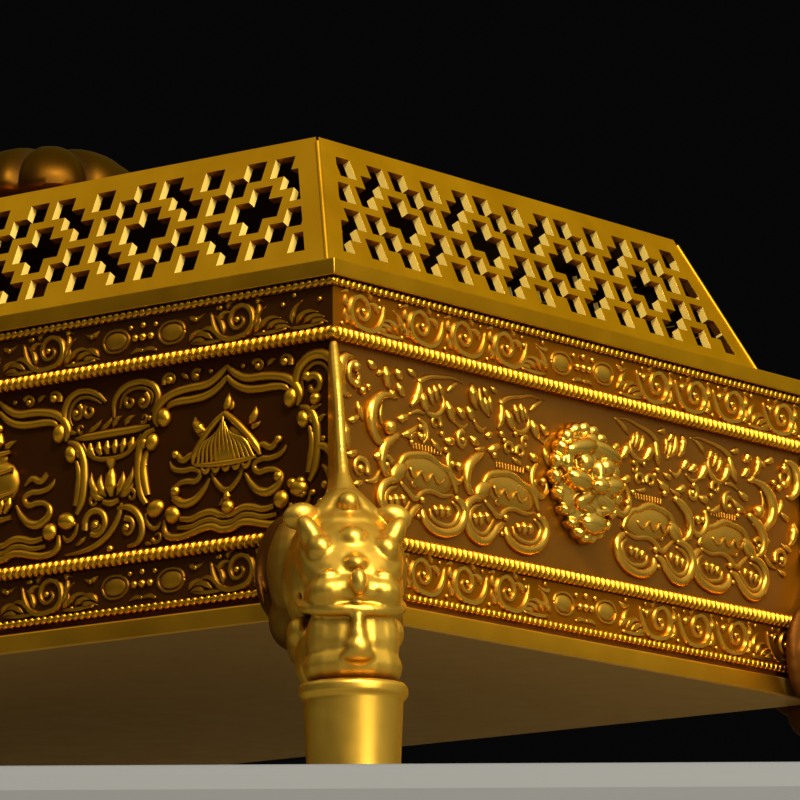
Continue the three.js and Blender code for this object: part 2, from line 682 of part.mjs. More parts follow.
addPiece('lattice_front', latticePanel(LENGTH, WIDTH, LONG_CROSSES, LONG_CROSS_END), gold);
addPiece('lattice_back', latticePanel(LENGTH, WIDTH, LONG_CROSSES, LONG_CROSS_END).rotateZ(Math.PI), gold);
addPiece('lattice_right', latticePanel(WIDTH, LENGTH, SHORT_CROSSES, SHORT_CROSS_END).rotateZ(Math.PI / 2), gold);
addPiece('lattice_left', latticePanel(WIDTH, LENGTH, SHORT_CROSSES, SHORT_CROSS_END).rotateZ(-Math.PI / 2), gold);
addPiece('lid_top_plate', lidTopPlate(), gold);

// Knob, its turned stem and the nut inside the lid

function knob() {
  const foot = LID_TOP + STEM_HEIGHT;
  const steps = 6;
  const profile = [new THREE.Vector2(0, 0), new THREE.Vector2(KNOB_RADIUS * 0.6, 0)];
  for (let i = 0; i <= steps; i += 1) {
    const angle = Math.PI / 2 * i / steps;
    const radius = i === steps ? 0 : KNOB_RADIUS * Math.cos(angle) ** KNOB_FULLNESS;
    const height = KNOB_RIM_HEIGHT + (KNOB_HEIGHT - KNOB_RIM_HEIGHT) * Math.sin(angle);
    profile.push(new THREE.Vector2(radius, height));
  }
  const dome = new THREE.LatheGeometry(profile, 32).rotateX(Math.PI / 2);
  const place = dome.attributes.position;
  for (let i = 0; i < place.count; i += 1) {
    const radius = Math.hypot(place.getX(i), place.getY(i));
    if (radius > 1e-6) {
      const angle = Math.atan2(place.getY(i), place.getX(i));
      const pinch = KNOB_LOBE_DEPTH / KNOB_RADIUS * (1 - Math.cos(KNOB_LOBES * angle)) / 2;
      place.setXY(i, place.getX(i) * (1 - pinch), place.getY(i) * (1 - pinch));
    }
  }
  const socket = upright(STEM_SCREW_RADIUS + STEM_SCREW_CLEARANCE, -1, KNOB_HEIGHT / 2, 16);
  return cut(dome, socket).translate(0, 0, foot);
}

// Turned stem with a foot ring and a waist, threaded at both ends
function knobStem() {
  const nutSide = -LID_TOP_THICKNESS - NUT_THICKNESS - 0.6;
  const points = [
    [0, nutSide], [STEM_SCREW_RADIUS, nutSide], [STEM_SCREW_RADIUS, 0],
    [STEM_RADIUS * 2, 0], [STEM_RADIUS * 2, 1.2], [STEM_RADIUS * 1.6, 2], [STEM_RADIUS, 3],
    [STEM_RADIUS, STEM_HEIGHT - 2.4], [STEM_RADIUS * 1.5, STEM_HEIGHT - 1.2],
    [STEM_RADIUS * 1.5, STEM_HEIGHT], [STEM_SCREW_RADIUS, STEM_HEIGHT],
    [STEM_SCREW_RADIUS, STEM_HEIGHT + KNOB_HEIGHT / 2 - 0.5], [0, STEM_HEIGHT + KNOB_HEIGHT / 2 - 0.5],
  ];
  const profile = points.map(([radius, height]) => new THREE.Vector2(radius, height));
  return new THREE.LatheGeometry(profile, 16).rotateX(Math.PI / 2).translate(0, 0, LID_TOP);
}

function knobNut() {
  const top = LID_TOP - LID_TOP_THICKNESS;
  const hex = upright(NUT_ACROSS_CORNERS / 2, top - NUT_THICKNESS, top, 6);
  return cut(hex, upright(STEM_SCREW_RADIUS + STEM_SCREW_CLEARANCE, top - 2 * NUT_THICKNESS, top + 1, 16));
}

addPiece('knob', knob(), gold);
addPiece('knob_stem', knobStem(), gold);
addPiece('knob_nut', knobNut(), redCopper);

// Legs: a cast beast-head shoe that hugs the corner, and a turned shaft tenoned up into its jaw

function ball(radiusX, radiusY, radiusZ, x, y, z, around = 12, up = 8) {
  const sphere = new THREE.SphereGeometry(1, around, up).rotateX(Math.PI / 2);
  return sphere.scale(radiusX, radiusY, radiusZ).translate(x, y, z);
}

// Solid between level outlines of equal count, each given as [z, [[x, y], ...]]
function loft(sections) {
  const count = sections[0][1].length;
  const positions = sections.flatMap(([z, outline]) => outline.flatMap(([x, y]) => [x, y, z]));
  const index = [];
  for (let level = 0; level + 1 < sections.length; level += 1) {
    for (let point = 0; point < count; point += 1) {
      const next = (point + 1) % count;
      const a = level * count + point;
      const b = level * count + next;
      index.push(a, b, b + count, a, b + count, a + count);
    }
  }
  const last = (sections.length - 1) * count;
  const shapes = [sections[0][1], sections.at(-1)[1]].map((outline) => outline.map(([x, y]) => new THREE.Vector2(x, y)));
  for (const [a, b, c] of THREE.ShapeUtils.triangulateShape(shapes[0], [])) index.push(a, c, b);
  for (const [a, b, c] of THREE.ShapeUtils.triangulateShape(shapes[1], [])) index.push(last + a, last + b, last + c);
  const geometry = new THREE.BufferGeometry();
  geometry.setAttribute('position', new THREE.Float32BufferAttribute(positions, 3));
  geometry.setIndex(index);
  return geometry;
}

// Plan outline of the shoe: out from each end of the corner hug, round the shaft's centre and back
function shoeOutline(hug, reach, halfWidth, cornerX) {
  const half = Math.SQRT1_2;
  const tip = [cornerX - hug * half, hug * half];
  const thick = SHOE_THICKNESS * Math.SQRT2;
  return [
    [cornerX, 0],
    [tip[0], -tip[1]],
    [tip[0] + thick * half, -tip[1] - thick * half],
    [reach - halfWidth, -halfWidth],
    [reach, -halfWidth],
    [reach + halfWidth * half, -halfWidth * half],
    [reach + halfWidth, 0],
    [reach + halfWidth * half, halfWidth * half],
    [reach, halfWidth],
    [reach - halfWidth, halfWidth],
    [tip[0] + thick * half, tip[1] + thick * half],
    [tip[0], tip[1]],
  ];
}

const shoeCorner = (-BASE_DEPTH + SHOE_CLEARANCE) * Math.SQRT2;
const jawFoot = UNDERSIDE - COLLAR_DROP;

function legHead() {
  const jaw = jawFoot + COLLAR_THICKNESS / 2;
  const neck = loft([
    [jaw, shoeOutline(1.5, LEG_REACH, SHAFT_RADIUS - 0.3, LEG_REACH - SHAFT_RADIUS - 1)],
    [UNDERSIDE - 4, shoeOutline(SHOE_LENGTH * 0.7, LEG_REACH, SHAFT_RADIUS, shoeCorner)],
    [UNDERSIDE, shoeOutline(SHOE_LENGTH, LEG_REACH - 1, SHAFT_RADIUS, shoeCorner)],
    [UNDERSIDE + SHOE_TOP / 2, shoeOutline(SHOE_LENGTH, LEG_REACH - 3, SHAFT_RADIUS - 0.5, shoeCorner)],
    [UNDERSIDE + SHOE_TOP, shoeOutline(SHOE_LENGTH - 3, SHOE_LENGTH, 2, shoeCorner)],
  ]);
  const skullZ = UNDERSIDE + SKULL_RISE;
  const skull = ball(SKULL_HALF_DEPTH, SKULL_HALF_WIDTH, SKULL_HALF_HEIGHT, SKULL_REACH, 0, skullZ);
  const muzzle = ball(MUZZLE_HALF_DEPTH, MUZZLE_HALF_WIDTH, MUZZLE_HALF_HEIGHT, MUZZLE_REACH, 0, UNDERSIDE - 0.6);
  const ears = [1, -1].map((side) => {
    const y = side * (SKULL_HALF_WIDTH - 0.6);
    return ball(EAR_RADIUS, EAR_RADIUS, EAR_RADIUS * 1.2, SKULL_REACH - 1, y, skullZ + 3.2, 8, 5);
  });
  const socket = upright(TENON_RADIUS + TENON_CLEARANCE, jaw - 1, jaw + TENON_LENGTH + TENON_CLEARANCE, 16);
  const solid = join(neck, skull, muzzle, keel(), ...ears);
  const bore = bar(SCREW_RADIUS + SCREW_CLEARANCE, -1, shoeCorner + SCREW_BITE + SCREW_CLEARANCE, screwZ, 12);
  return cut(solid, socket.translate(LEG_REACH, 0, 0), bore);
}

// Thin blade up the corner of the box, from the beast's crown to just under the upper rope
function keel() {
  const top = UNDERSIDE + UPPER_ROPE_HEIGHT - ROPE_RADIUS - KEEL_CLEARANCE;
  const foot = UNDERSIDE + SHOE_TOP - 2;
  const beadFront = (POST_BEAD_RADIUS - POST_BEAD_DEPTH * Math.SQRT2);
  const back = beadFront + KEEL_CLEARANCE;
  const shape = new THREE.Shape();
  shape.moveTo(back + 0.9, foot);
  shape.lineTo(SKULL_REACH - 1, foot);
  shape.quadraticCurveTo(back + 3, foot + 4, back + 1.6, top);
  shape.lineTo(back, top);
  shape.lineTo(back, UNDERSIDE + LOWER_ROPE_HEIGHT + ROPE_RADIUS + KEEL_CLEARANCE);
  shape.closePath();
  const options = { depth: 2 * KEEL_HALF_WIDTH, bevelEnabled: false, curveSegments: 6 };
  return new THREE.ExtrudeGeometry(shape, options).translate(0, 0, -KEEL_HALF_WIDTH).rotateX(Math.PI / 2);
}

// Turned shaft: tenon, collar under the jaw, slightly tapered shaft and a spreading foot
function legShaft() {
  const collarTop = jawFoot + COLLAR_THICKNESS / 2 - TENON_CLEARANCE;
  const collarFoot = collarTop - COLLAR_THICKNESS;
  const points = [
    [0, 0], [FOOT_RADIUS, 0], [FOOT_RADIUS, FOOT_HEIGHT * 0.3], [FOOT_RADIUS * 0.92, FOOT_HEIGHT * 0.55],
    [ANKLE_RADIUS * 1.15, FOOT_HEIGHT * 0.85], [ANKLE_RADIUS, FOOT_HEIGHT],
    [SHAFT_RADIUS, collarFoot - 0.6],
    [COLLAR_RADIUS, collarFoot], [COLLAR_RADIUS, collarTop - 0.4], [COLLAR_RADIUS - 0.4, collarTop],
    [TENON_RADIUS, collarTop], [TENON_RADIUS, collarTop + TENON_LENGTH], [0, collarTop + TENON_LENGTH],
  ];
  const profile = points.map(([radius, height]) => new THREE.Vector2(radius, height));
  return new THREE.LatheGeometry(profile, 16).rotateX(Math.PI / 2).translate(LEG_REACH, 0, 0);
}

function legScrew() {
  const seat = postFlat;
  const shank = bar(SCREW_RADIUS, seat - SCREW_HEAD_THICKNESS / 2, shoeCorner + SCREW_BITE, screwZ, 12);
  return join(shank, bar(SCREW_HEAD_RADIUS, seat - SCREW_HEAD_THICKNESS, seat - SCREW_CLEARANCE / 2, screwZ, 16));
}

for (const corner of corners) {
  addPiece(`leg_head_${corner.name}`, atCorner(legHead(), corner), gold);
  addPiece(`leg_shaft_${corner.name}`, atCorner(legShaft(), corner), gold);
  addPiece(`leg_screw_${corner.name}`, atCorner(legScrew(), corner), redCopper);
}

export default burner;
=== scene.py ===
import math
import bpy
import bmesh
from mathutils import Matrix, Vector


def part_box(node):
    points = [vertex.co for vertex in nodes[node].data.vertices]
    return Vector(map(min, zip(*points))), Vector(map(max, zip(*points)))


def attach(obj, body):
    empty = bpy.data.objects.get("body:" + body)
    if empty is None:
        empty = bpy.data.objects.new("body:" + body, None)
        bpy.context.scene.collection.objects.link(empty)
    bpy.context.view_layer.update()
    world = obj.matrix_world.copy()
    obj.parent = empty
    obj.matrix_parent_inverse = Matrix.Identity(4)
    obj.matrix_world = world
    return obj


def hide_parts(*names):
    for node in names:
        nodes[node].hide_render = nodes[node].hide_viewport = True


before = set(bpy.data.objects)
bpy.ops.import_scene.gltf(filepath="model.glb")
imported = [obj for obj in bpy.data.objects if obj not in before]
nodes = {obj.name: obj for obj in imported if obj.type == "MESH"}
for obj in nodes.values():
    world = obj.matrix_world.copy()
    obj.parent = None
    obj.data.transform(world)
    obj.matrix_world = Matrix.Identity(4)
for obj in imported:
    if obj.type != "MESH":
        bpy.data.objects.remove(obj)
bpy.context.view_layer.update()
scene = bpy.context.scene
MM = 0.001

# Studio
# A camera low in front of the near corner, looking slightly up, as the photograph does. The burner
# stands on a pale plinth whose front edge cuts off the near foot, under soft lamps in a dark room.
scene.view_settings.view_transform = "Standard"


def placed(name, data):
    """A new object in the scene."""
    obj = bpy.data.objects.new(name, data)
    scene.collection.objects.link(obj)
    return obj


def as_mesh(bm, name):
    """A mesh made of a bmesh, which is freed."""
    mesh = bpy.data.meshes.new(name)
    bm.to_mesh(mesh)
    bm.free()
    return mesh


def turned(degrees, axis="Z"):
    """A rotation about one axis."""
    return Matrix.Rotation(math.radians(degrees), 4, axis)


def block(bm, at, size):
    """Adds a box, centred on the place at."""
    bmesh.ops.create_cube(bm, size=1, matrix=at @ Matrix.Diagonal((*size, 1)))


def ball(bm, at, segments=16, rings=8):
    """Adds a ball of radius 1 at the place, which may stretch it."""
    bmesh.ops.create_uvsphere(bm, u_segments=segments, v_segments=rings, radius=1, matrix=at)


def rod(bm, at, radius, length, segments):
    """Adds a round rod with capped ends, along the place's z and centred on it."""
    bmesh.ops.create_cone(bm, cap_ends=True, segments=segments, radius1=radius, radius2=radius,
                          depth=length, matrix=at)


def ranged(tree, value, low, high, start, end):
    """A shader value that runs from start to end while another runs from low to high."""
    node = tree.nodes.new("ShaderNodeMapRange")
    for socket, number in zip(("From Min", "From Max", "To Min", "To Max"), (low, high, start, end)):
        node.inputs[socket].default_value = number
    tree.links.new(value, node.inputs["Value"])
    return node.outputs[0]


def combined(tree, operation, first, second=None):
    """The result of a sum on one or two shader values or numbers."""
    node = tree.nodes.new("ShaderNodeMath")
    node.operation = operation
    for i, value in enumerate((first, second)):
        if isinstance(value, (int, float)):
            node.inputs[i].default_value = value
        elif value:
            tree.links.new(value, node.inputs[i])
    return node.outputs[0]


camera = placed("camera", bpy.data.cameras.new("camera"))
camera.data.sensor_width = 36
camera.data.lens = 244.4
camera.data.clip_start, camera.data.clip_end = 0.05, 20
camera_right = Vector((0.78628, 0.61785, -0.00498))
camera_up = Vector((0.12046, -0.14538, 0.98201))
camera_back = camera_right.cross(camera_up)
camera.matrix_world = (Matrix.Translation((0.463909, -0.517071, -0.055172))
                       @ Matrix((camera_right, camera_up, camera_back)).transposed().to_4x4())
scene.camera = camera

NEAR_CORNER = Vector((0.087, -0.0485, 0))
PLINTH_TURN = 38.1
PLINTH_FRONT = 0.159
PLINTH_SIZE = 3.0
PLINTH_THICKNESS = 0.09


def plinth():
    """The slab that the burner stands on. Its front edge lies a little in front of the near corner."""
    towards = turned(PLINTH_TURN) @ Vector((0, -1, 0))
    edge = NEAR_CORNER + towards * PLINTH_FRONT
    middle = edge - towards * PLINTH_SIZE / 2 - Vector((0, 0, PLINTH_THICKNESS / 2))
    bm = bmesh.new()
    at = Matrix.Translation(middle) @ turned(PLINTH_TURN)
    block(bm, at, (PLINTH_SIZE, PLINTH_SIZE, PLINTH_THICKNESS))
    bmesh.ops.bevel(bm, geom=bm.edges[:], offset=0.004, offset_type="OFFSET", affect="EDGES",
                    segments=4, profile=0.5, material=-1)
    mesh = as_mesh(bm, "plinth")
    paint = bpy.data.materials.new("pale_plinth")
    paint.use_nodes = True
    shader = paint.node_tree.nodes["Principled BSDF"]
    shader.inputs["Base Color"].default_value = (0.15, 0.15, 0.142, 1)
    shader.inputs["Roughness"].default_value = 0.75
    mesh.materials.append(paint)
    obj = placed("plinth", mesh)


def softbox(name, place, aim, width, height, power, colour):
    """A soft lamp, width by height in metres, that faces its aim."""
    lamp = bpy.data.lights.new(name, "AREA")
    lamp.shape = "RECTANGLE"
    lamp.size, lamp.size_y = width, height
    lamp.energy = power
    lamp.color = colour
    turn = (Vector(aim) - Vector(place)).to_track_quat("-Z", "Y").to_matrix().to_4x4()
    placed(name, lamp).matrix_world = Matrix.Translation(place) @ turn


def room():
    """Soft light that grows upwards and towards the right, with a black backdrop for the camera."""
    ramps = (((0, 0, 1), -0.25, 0.8, 0.05, 0.55), ((0.62, 0.78, 0), -1, 1, 0.5, 1.5),
             ((0.81, -0.58, 0), -0.9, -0.1, 0.25, 1))
    world = bpy.data.worlds.new("room")
    world.use_nodes = True
    scene.world = world
    tree = world.node_tree
    tree.nodes.clear()
    new, link = tree.nodes.new, tree.links.new
    direction = new("ShaderNodeTexCoord").outputs["Generated"]
    strength = None
    for facing, low, high, start, end in ramps:
        side = new("ShaderNodeVectorMath")
        side.operation = "DOT_PRODUCT"
        side.inputs[1].default_value = facing
        link(direction, side.inputs[0])
        ramp = ranged(tree, side.outputs["Value"], low, high, start, end)
        strength = combined(tree, "MULTIPLY", strength, ramp) if strength else ramp
    lit = new("ShaderNodeBackground")
    link(strength, lit.inputs["Strength"])
    seen = new("ShaderNodeBackground")
    seen.inputs["Color"].default_value = (0.002, 0.002, 0.002, 1)
    mix = new("ShaderNodeMixShader")
    link(new("ShaderNodeLightPath").outputs["Is Camera Ray"], mix.inputs[0])
    link(lit.outputs[0], mix.inputs[1])
    link(seen.outputs[0], mix.inputs[2])
    link(mix.outputs[0], new("ShaderNodeOutputWorld").inputs["Surface"])


plinth()
room()
softbox("key", (0.79, -0.27, 0.50), (0.03, 0, 0.06), 0.4, 0.8, 8.0, (1, 0.96, 0.88))
softbox("fill", (-0.62, -0.27, 0.80), (0, 0, 0.06), 0.5, 0.35, 0.2, (1, 0.98, 0.94))
softbox("spark", (0.56, -0.47, 0.80), (0.03, 0, 0.06), 0.14, 0.14, 9.0, (1, 0.95, 0.84))

# Base plate
# One flat copper plate under the whole box, filed true and fire-gilt, and soldered to the walls.
# Its edge stands a little proud of the thin foot rope as a plain band.
LENGTH, WIDTH = 174, 97


def gilt(name, bright, deep, rough=0.3, reach=1.4, grain=0.1, ground=None, coat=0.0, dull=0.5,
         metal=None):
    """Fire-gilt copper, bright where it stands out and brown in hollows, where the brown is partly the
    patina that stays there and partly painted shade.

    reach is how far in mm a hollow darkens, as painted shade from an ambient-occlusion mask. ground is
    ("out" or "Z", low, high): the depth behind the faces of the box, or the height, over which the deep
    colour gives way to bright: painted shade on undersides and beside the box, and partly patina on sunk
    grounds.
    dull is how metallic the deep colour is, and metal sets the same value all over instead."""
    material = bpy.data.materials.new(name)
    material.use_nodes = True
    tree = material.node_tree
    new, link = tree.nodes.new, tree.links.new
    shader = tree.nodes["Principled BSDF"]
    shader.inputs["Coat Weight"].default_value = coat
    shader.inputs["Coat Roughness"].default_value = 0.12
    shader.inputs["Specular Tint"].default_value = (1, 0.8, 0.4, 1)
    place = new("ShaderNodeTexCoord").outputs["Object"]

    def noise(scale, detail):
        node = new("ShaderNodeTexNoise")
        node.inputs["Scale"].default_value = scale
        node.inputs["Detail"].default_value = detail
        link(place, node.inputs["Vector"])
        return node.outputs["Fac"]

    # Painted shade: ambient occlusion turns hollows and creases to the deep colour, partly standing for
    # real patina there.
    hollow_shade = new("ShaderNodeAmbientOcclusion")
    hollow_shade.samples = 6
    hollow_shade.inputs["Distance"].default_value = reach * MM
    polish_unshaded = ranged(tree, hollow_shade.outputs["AO"], 0.3, 0.9, 0, 1)
    if ground:
        split = new("ShaderNodeSeparateXYZ")
        link(place, split.inputs[0])
        level = split.outputs["Z"]
        if ground[0] == "out":
            outs = []
            for axis, size in (("X", LENGTH), ("Y", WIDTH)):
                across = combined(tree, "ABSOLUTE", split.outputs[axis])
                outs.append(combined(tree, "SUBTRACT", across, size / 2 * MM))
            level = combined(tree, "MAXIMUM", *outs)
        shown = ranged(tree, level, ground[1] * MM, ground[2] * MM, 0, 1)
        polish_unshaded = combined(tree, "MULTIPLY", polish_unshaded, shown)

    clouds = ranged(tree, noise(75, 4), 0.3, 0.7, 0, 1)
    tint = new("ShaderNodeMix")
    tint.data_type = "RGBA"
    tint.inputs[6].default_value = (bright[0] * 0.84, bright[1] * 0.78, bright[2] * 0.7, 1)
    tint.inputs[7].default_value = (*bright, 1)
    link(clouds, tint.inputs[0])
    colour = new("ShaderNodeMix")
    colour.data_type = "RGBA"
    colour.inputs[6].default_value = (*deep, 1)
    link(tint.outputs[2], colour.inputs[7])
    link(polish_unshaded, colour.inputs[0])
    link(colour.outputs[2], shader.inputs["Base Color"])
    if metal is None:
        link(ranged(tree, polish_unshaded, 0, 1, dull, 1), shader.inputs["Metallic"])
    else:
        shader.inputs["Metallic"].default_value = metal

    smudge = ranged(tree, noise(260, 5), 0.25, 0.75, -0.05, 0.07)
    worn = ranged(tree, polish_unshaded, 0, 1, rough + 0.2, rough)
    link(combined(tree, "ADD", worn, smudge), shader.inputs["Roughness"])
    bump = new("ShaderNodeBump")
    bump.inputs["Strength"].default_value = grain
    bump.inputs["Distance"].default_value = 0.05 * MM
    link(noise(2600, 3), bump.inputs["Height"])
    link(bump.outputs[0], shader.inputs["Normal"])
    return material


def finished(bm, name, finish, body, stands_for=(), smooth=35, weighted=False):
    """Makes a piece of a finished bmesh, in metres, and lets it ride on its body."""
    mesh = as_mesh(bm, name)
    mesh.materials.append(finish)
    mesh.polygons.foreach_set("use_smooth", [True] * len(mesh.polygons))
    mesh.set_sharp_from_angle(angle=math.radians(smooth))
    obj = placed(name, mesh)
    if weighted:
        obj.modifiers.new("even_shading", "WEIGHTED_NORMAL").keep_sharp = True
    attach(obj, body)
    if stands_for:
        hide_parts(*stands_for)
    return obj


def cad_copy(node):
    """The solid's own shape, with its loose triangles merged into whole faces."""
    bm = bmesh.new()
    bm.from_mesh(nodes[node].data)
    bmesh.ops.remove_doubles(bm, verts=bm.verts, dist=1e-6)
    bmesh.ops.dissolve_limit(bm, angle_limit=math.radians(1), verts=bm.verts, edges=bm.edges)
    return bm


def edged(node, finish, body="box", edge=0.15, crease=32):
    """The CAD node's own shape with its sharp edges broken by a fine filed bevel."""
    bm = cad_copy(node)
    sharp = [e for e in bm.edges if e.is_manifold and e.calc_face_angle() > math.radians(crease)]
    bmesh.ops.bevel(bm, geom=sharp, offset=edge * MM, offset_type="OFFSET", affect="EDGES",
                    segments=2, profile=0.5, material=-1, clamp_overlap=True)
    return finished(bm, f"{node}_filed", finish, body, (node,), weighted=True)


GOLD = (0.86, 0.42, 0.02)
BROWN = (0.11, 0.034, 0.003)
# Painted shade: from 36.3 mm down to its underside, the plate turns to a dull brown.
plate_gilt = gilt("plate_gilt", GOLD, (0.56, 0.31, 0.075), rough=0.33, ground=("Z", 36.02, 36.3), dull=0.8)
edged("base_plate", plate_gilt, edge=0.3)

# Walls
# Four cast and chased copper plates, soldered to the corner posts. The long ones carry five framed
# panels with emblems and, between them, vases on scrolls. Gilding is worn bright on the raised work and
# brown on the sunk ground, partly as patina and partly as painted shade; the long walls carry a darker
# painted-shade copy of it and the short walls a lighter painted-light copy.
WALL_FACE = 1.3
MIDDLE = 57.05
PANEL_PITCH = 35.15


def side_plane(side, depth):
    """Turns (along, up, out) in mm on one side of the box into its place in metres."""
    turn = {"front": 0, "right": 90, "back": 180, "left": 270}[side]
    out = (WIDTH if side in ("front", "back") else LENGTH) / 2 - depth
    return turned(turn) @ Matrix.Translation((0, -out * MM, 0)) @ turned(90, "X") @ Matrix.Scale(MM, 4)


def chased(strokes, beads=(), domes=(), sides=2, weight=1.0):
    """Raised work on the plane z = 0, in mm: strokes of (x, y, half width, height), beads of
    (x, y, radius) and domes of (x, y, half width, half height, rise, turn). weight thickens the lot."""
    curve = bpy.data.curves.new("strokes", "CURVE")
    curve.dimensions = "3D"
    curve.bevel_depth = 1
    curve.bevel_resolution = sides
    curve.resolution_u = curve.render_resolution_u = 4
    curve.use_fill_caps = True
    for keys in strokes:
        spline = curve.splines.new("BEZIER")
        spline.bezier_points.add(len(keys) - 1)
        for point, key in zip(spline.bezier_points, keys):
            point.co = (key[0], key[1], key[3] if len(key) > 3 else 0)
            point.radius = key[2] * weight
            point.handle_left_type = point.handle_right_type = "AUTO"
    drawn = placed("strokes", curve)
    mesh = bpy.data.meshes.new_from_object(drawn.evaluated_get(bpy.context.evaluated_depsgraph_get()))
    bpy.data.objects.remove(drawn)
    bpy.data.curves.remove(curve)
    bm = bmesh.new()
    bm.from_mesh(mesh)
    bmesh.ops.remove_doubles(bm, verts=bm.verts, dist=1e-4)
    bmesh.ops.recalc_face_normals(bm, faces=bm.faces)
    for x, y, radius in beads:
        bmesh.ops.create_icosphere(bm, subdivisions=2, radius=radius * weight ** 0.5,
                                   matrix=Matrix.Translation((x, y, 0.25 * radius)))
    for x, y, wide, tall, rise, turn in domes:
        ball(bm, Matrix.Translation((x, y, 0)) @ turned(turn) @ Matrix.Diagonal((wide, tall, rise, 1)))
    bm.to_mesh(mesh)
    bm.free()
    return mesh


def mirrored(strokes):
    """The same strokes on the other side of x = 0."""
    return [[(-key[0], *key[1:]) for key in keys] for keys in strokes]


def both(parts):
    """Beads or domes, with their mirror images after them."""
    return list(parts) + [(-part[0], *part[1:-1], -part[-1]) if len(part) > 3 else (-part[0], *part[1:])
                          for part in parts]


def curl(x, y, outer, inner, start, turn, width, tip=0.14):
    """Scroll that winds from the outer radius to the inner one, with angles in degrees."""
    count = max(3, round(abs(turn) / 48))
    keys = []
    for i in range(count + 1):
        t = i / count
        angle = math.radians(start + turn * t)
        radius = outer + (inner - outer) * t
        keys.append((x + radius * math.cos(angle), y + radius * math.sin(angle), width + (tip - width) * t))
    return keys


def leaf(x, y, length, angle, bend, width):
    """Comma-shaped leaf from its stalk at (x, y) to its tip."""
    keys = []
    for t, share in ((0, 0.2), (0.28, 1), (0.62, 0.75), (1, 0.12)):
        a = math.radians(angle + bend * t)
        keys.append((x + length * t * math.cos(a), y + length * t * math.sin(a), width * share))
    return keys


def petal(x0, y0, x1, y1, bow, width):
    """Fat leaf from its stalk to its tip, bowed to the left of the way it grows."""
    dx, dy = x1 - x0, y1 - y0
    length = math.hypot(dx, dy)
    keys = []
    for t, share, swing in ((0, 0.35, 0), (0.3, 1, 0.8), (0.68, 0.8, 0.9), (1, 0.15, 0)):
        aside = bow * swing / length
        keys.append((x0 + dx * t - dy * aside, y0 + dy * t + dx * aside, width * share))
    return keys


def lay(bm, mesh, at, x=0, y=0, sign=1):
    """Adds a copy of a mesh to bm, at (x, y) from the place at. A sign of -1 mirrors it left to right."""
    matrix = at @ Matrix.Translation((x, y, 0)) @ Matrix.Diagonal((sign, 1, 1, 1))
    copy = mesh.copy()
    copy.transform(matrix)
    if matrix.determinant() < 0:
        copy.flip_normals()
    bm.from_mesh(copy)
    bpy.data.meshes.remove(copy)


def cartouche():
    """Frame of a panel: doubled mouldings that break at beans and beads, with a peak at the top."""
    right = [
        [(0, 9.6, .3), (1.2, 8.6, .4), (2.9, 7.8, .45), (5.2, 7.7, .46), (7.2, 7.5, .46), (9.0, 7.0, .46),
         (10.3, 6.0, .46), (10.8, 4.8, .44), (10.4, 3.7, .25)],
        [(0, 8.3, .3), (1.2, 7.3, .38), (2.9, 6.55, .42), (5.2, 6.3, .42), (7.2, 6.3, .42), (8.7, 6.0, .36),
         (9.2, 5.5, .2)],
        [(10.9, 3.5, .25), (12.2, 3.0, .4), (13.1, 1.6, .46), (13.4, -.4, .46), (13.3, -2.4, .46),
         (12.9, -4.1, .42), (12.2, -5.2, .3)],
        [(12.1, 1.1, .25), (12.6, -.4, .42), (12.5, -2.2, .46), (12.0, -4.2, .36)],
        [(12.3, -6.3, .2), (11.9, -7.6, .28), (10.7, -8.2, .28), (10.0, -7.5, .15)],
        [(7.0, -7.5, .3), (5.3, -7.7, .38), (3.8, -7.3, .4), (2.3, -7.2, .4), (.9, -7.7, .38),
         (0, -7.8, .38)],
        [(7.4, -8.5, .25), (5.3, -8.6, .34), (3.6, -8.15, .34), (2.2, -8.1, .34), (.9, -8.6, .34),
         (0, -8.7, .34)],
        [(9.4, -7.4, .25), (9.2, -9.0, .4), (7.4, -9.65, .44), (5.3, -9.4, .44), (3.4, -8.95, .44),
         (2.0, -8.95, .44), (.9, -9.4, .44), (0, -9.5, .44)],
        curl(4.6, 9.0, .85, .3, 150, -300, .32), curl(8.6, 9.0, 1.0, .3, 330, 320, .36),
        petal(6.0, 8.8, 7.3, 9.6, .2, .3),
    ]
    domes = both([(9.5, 4.7, 1.0, 1.25, .95, -15), (11.3, 2.0, .9, 1.15, .85, 20),
                  (10.7, -5.9, 1.35, 1.1, 1.0, -20), (8.1, -6.9, 1.15, 1.15, 1.0, 0),
                  (12.6, 2.0, .55, .8, .6, 10)])
    return chased(right + mirrored(right), both([(8.6, 9.0, .5), (4.6, 9.0, .4), (2.4, 9.3, .3)]), domes,
                  weight=1.3)


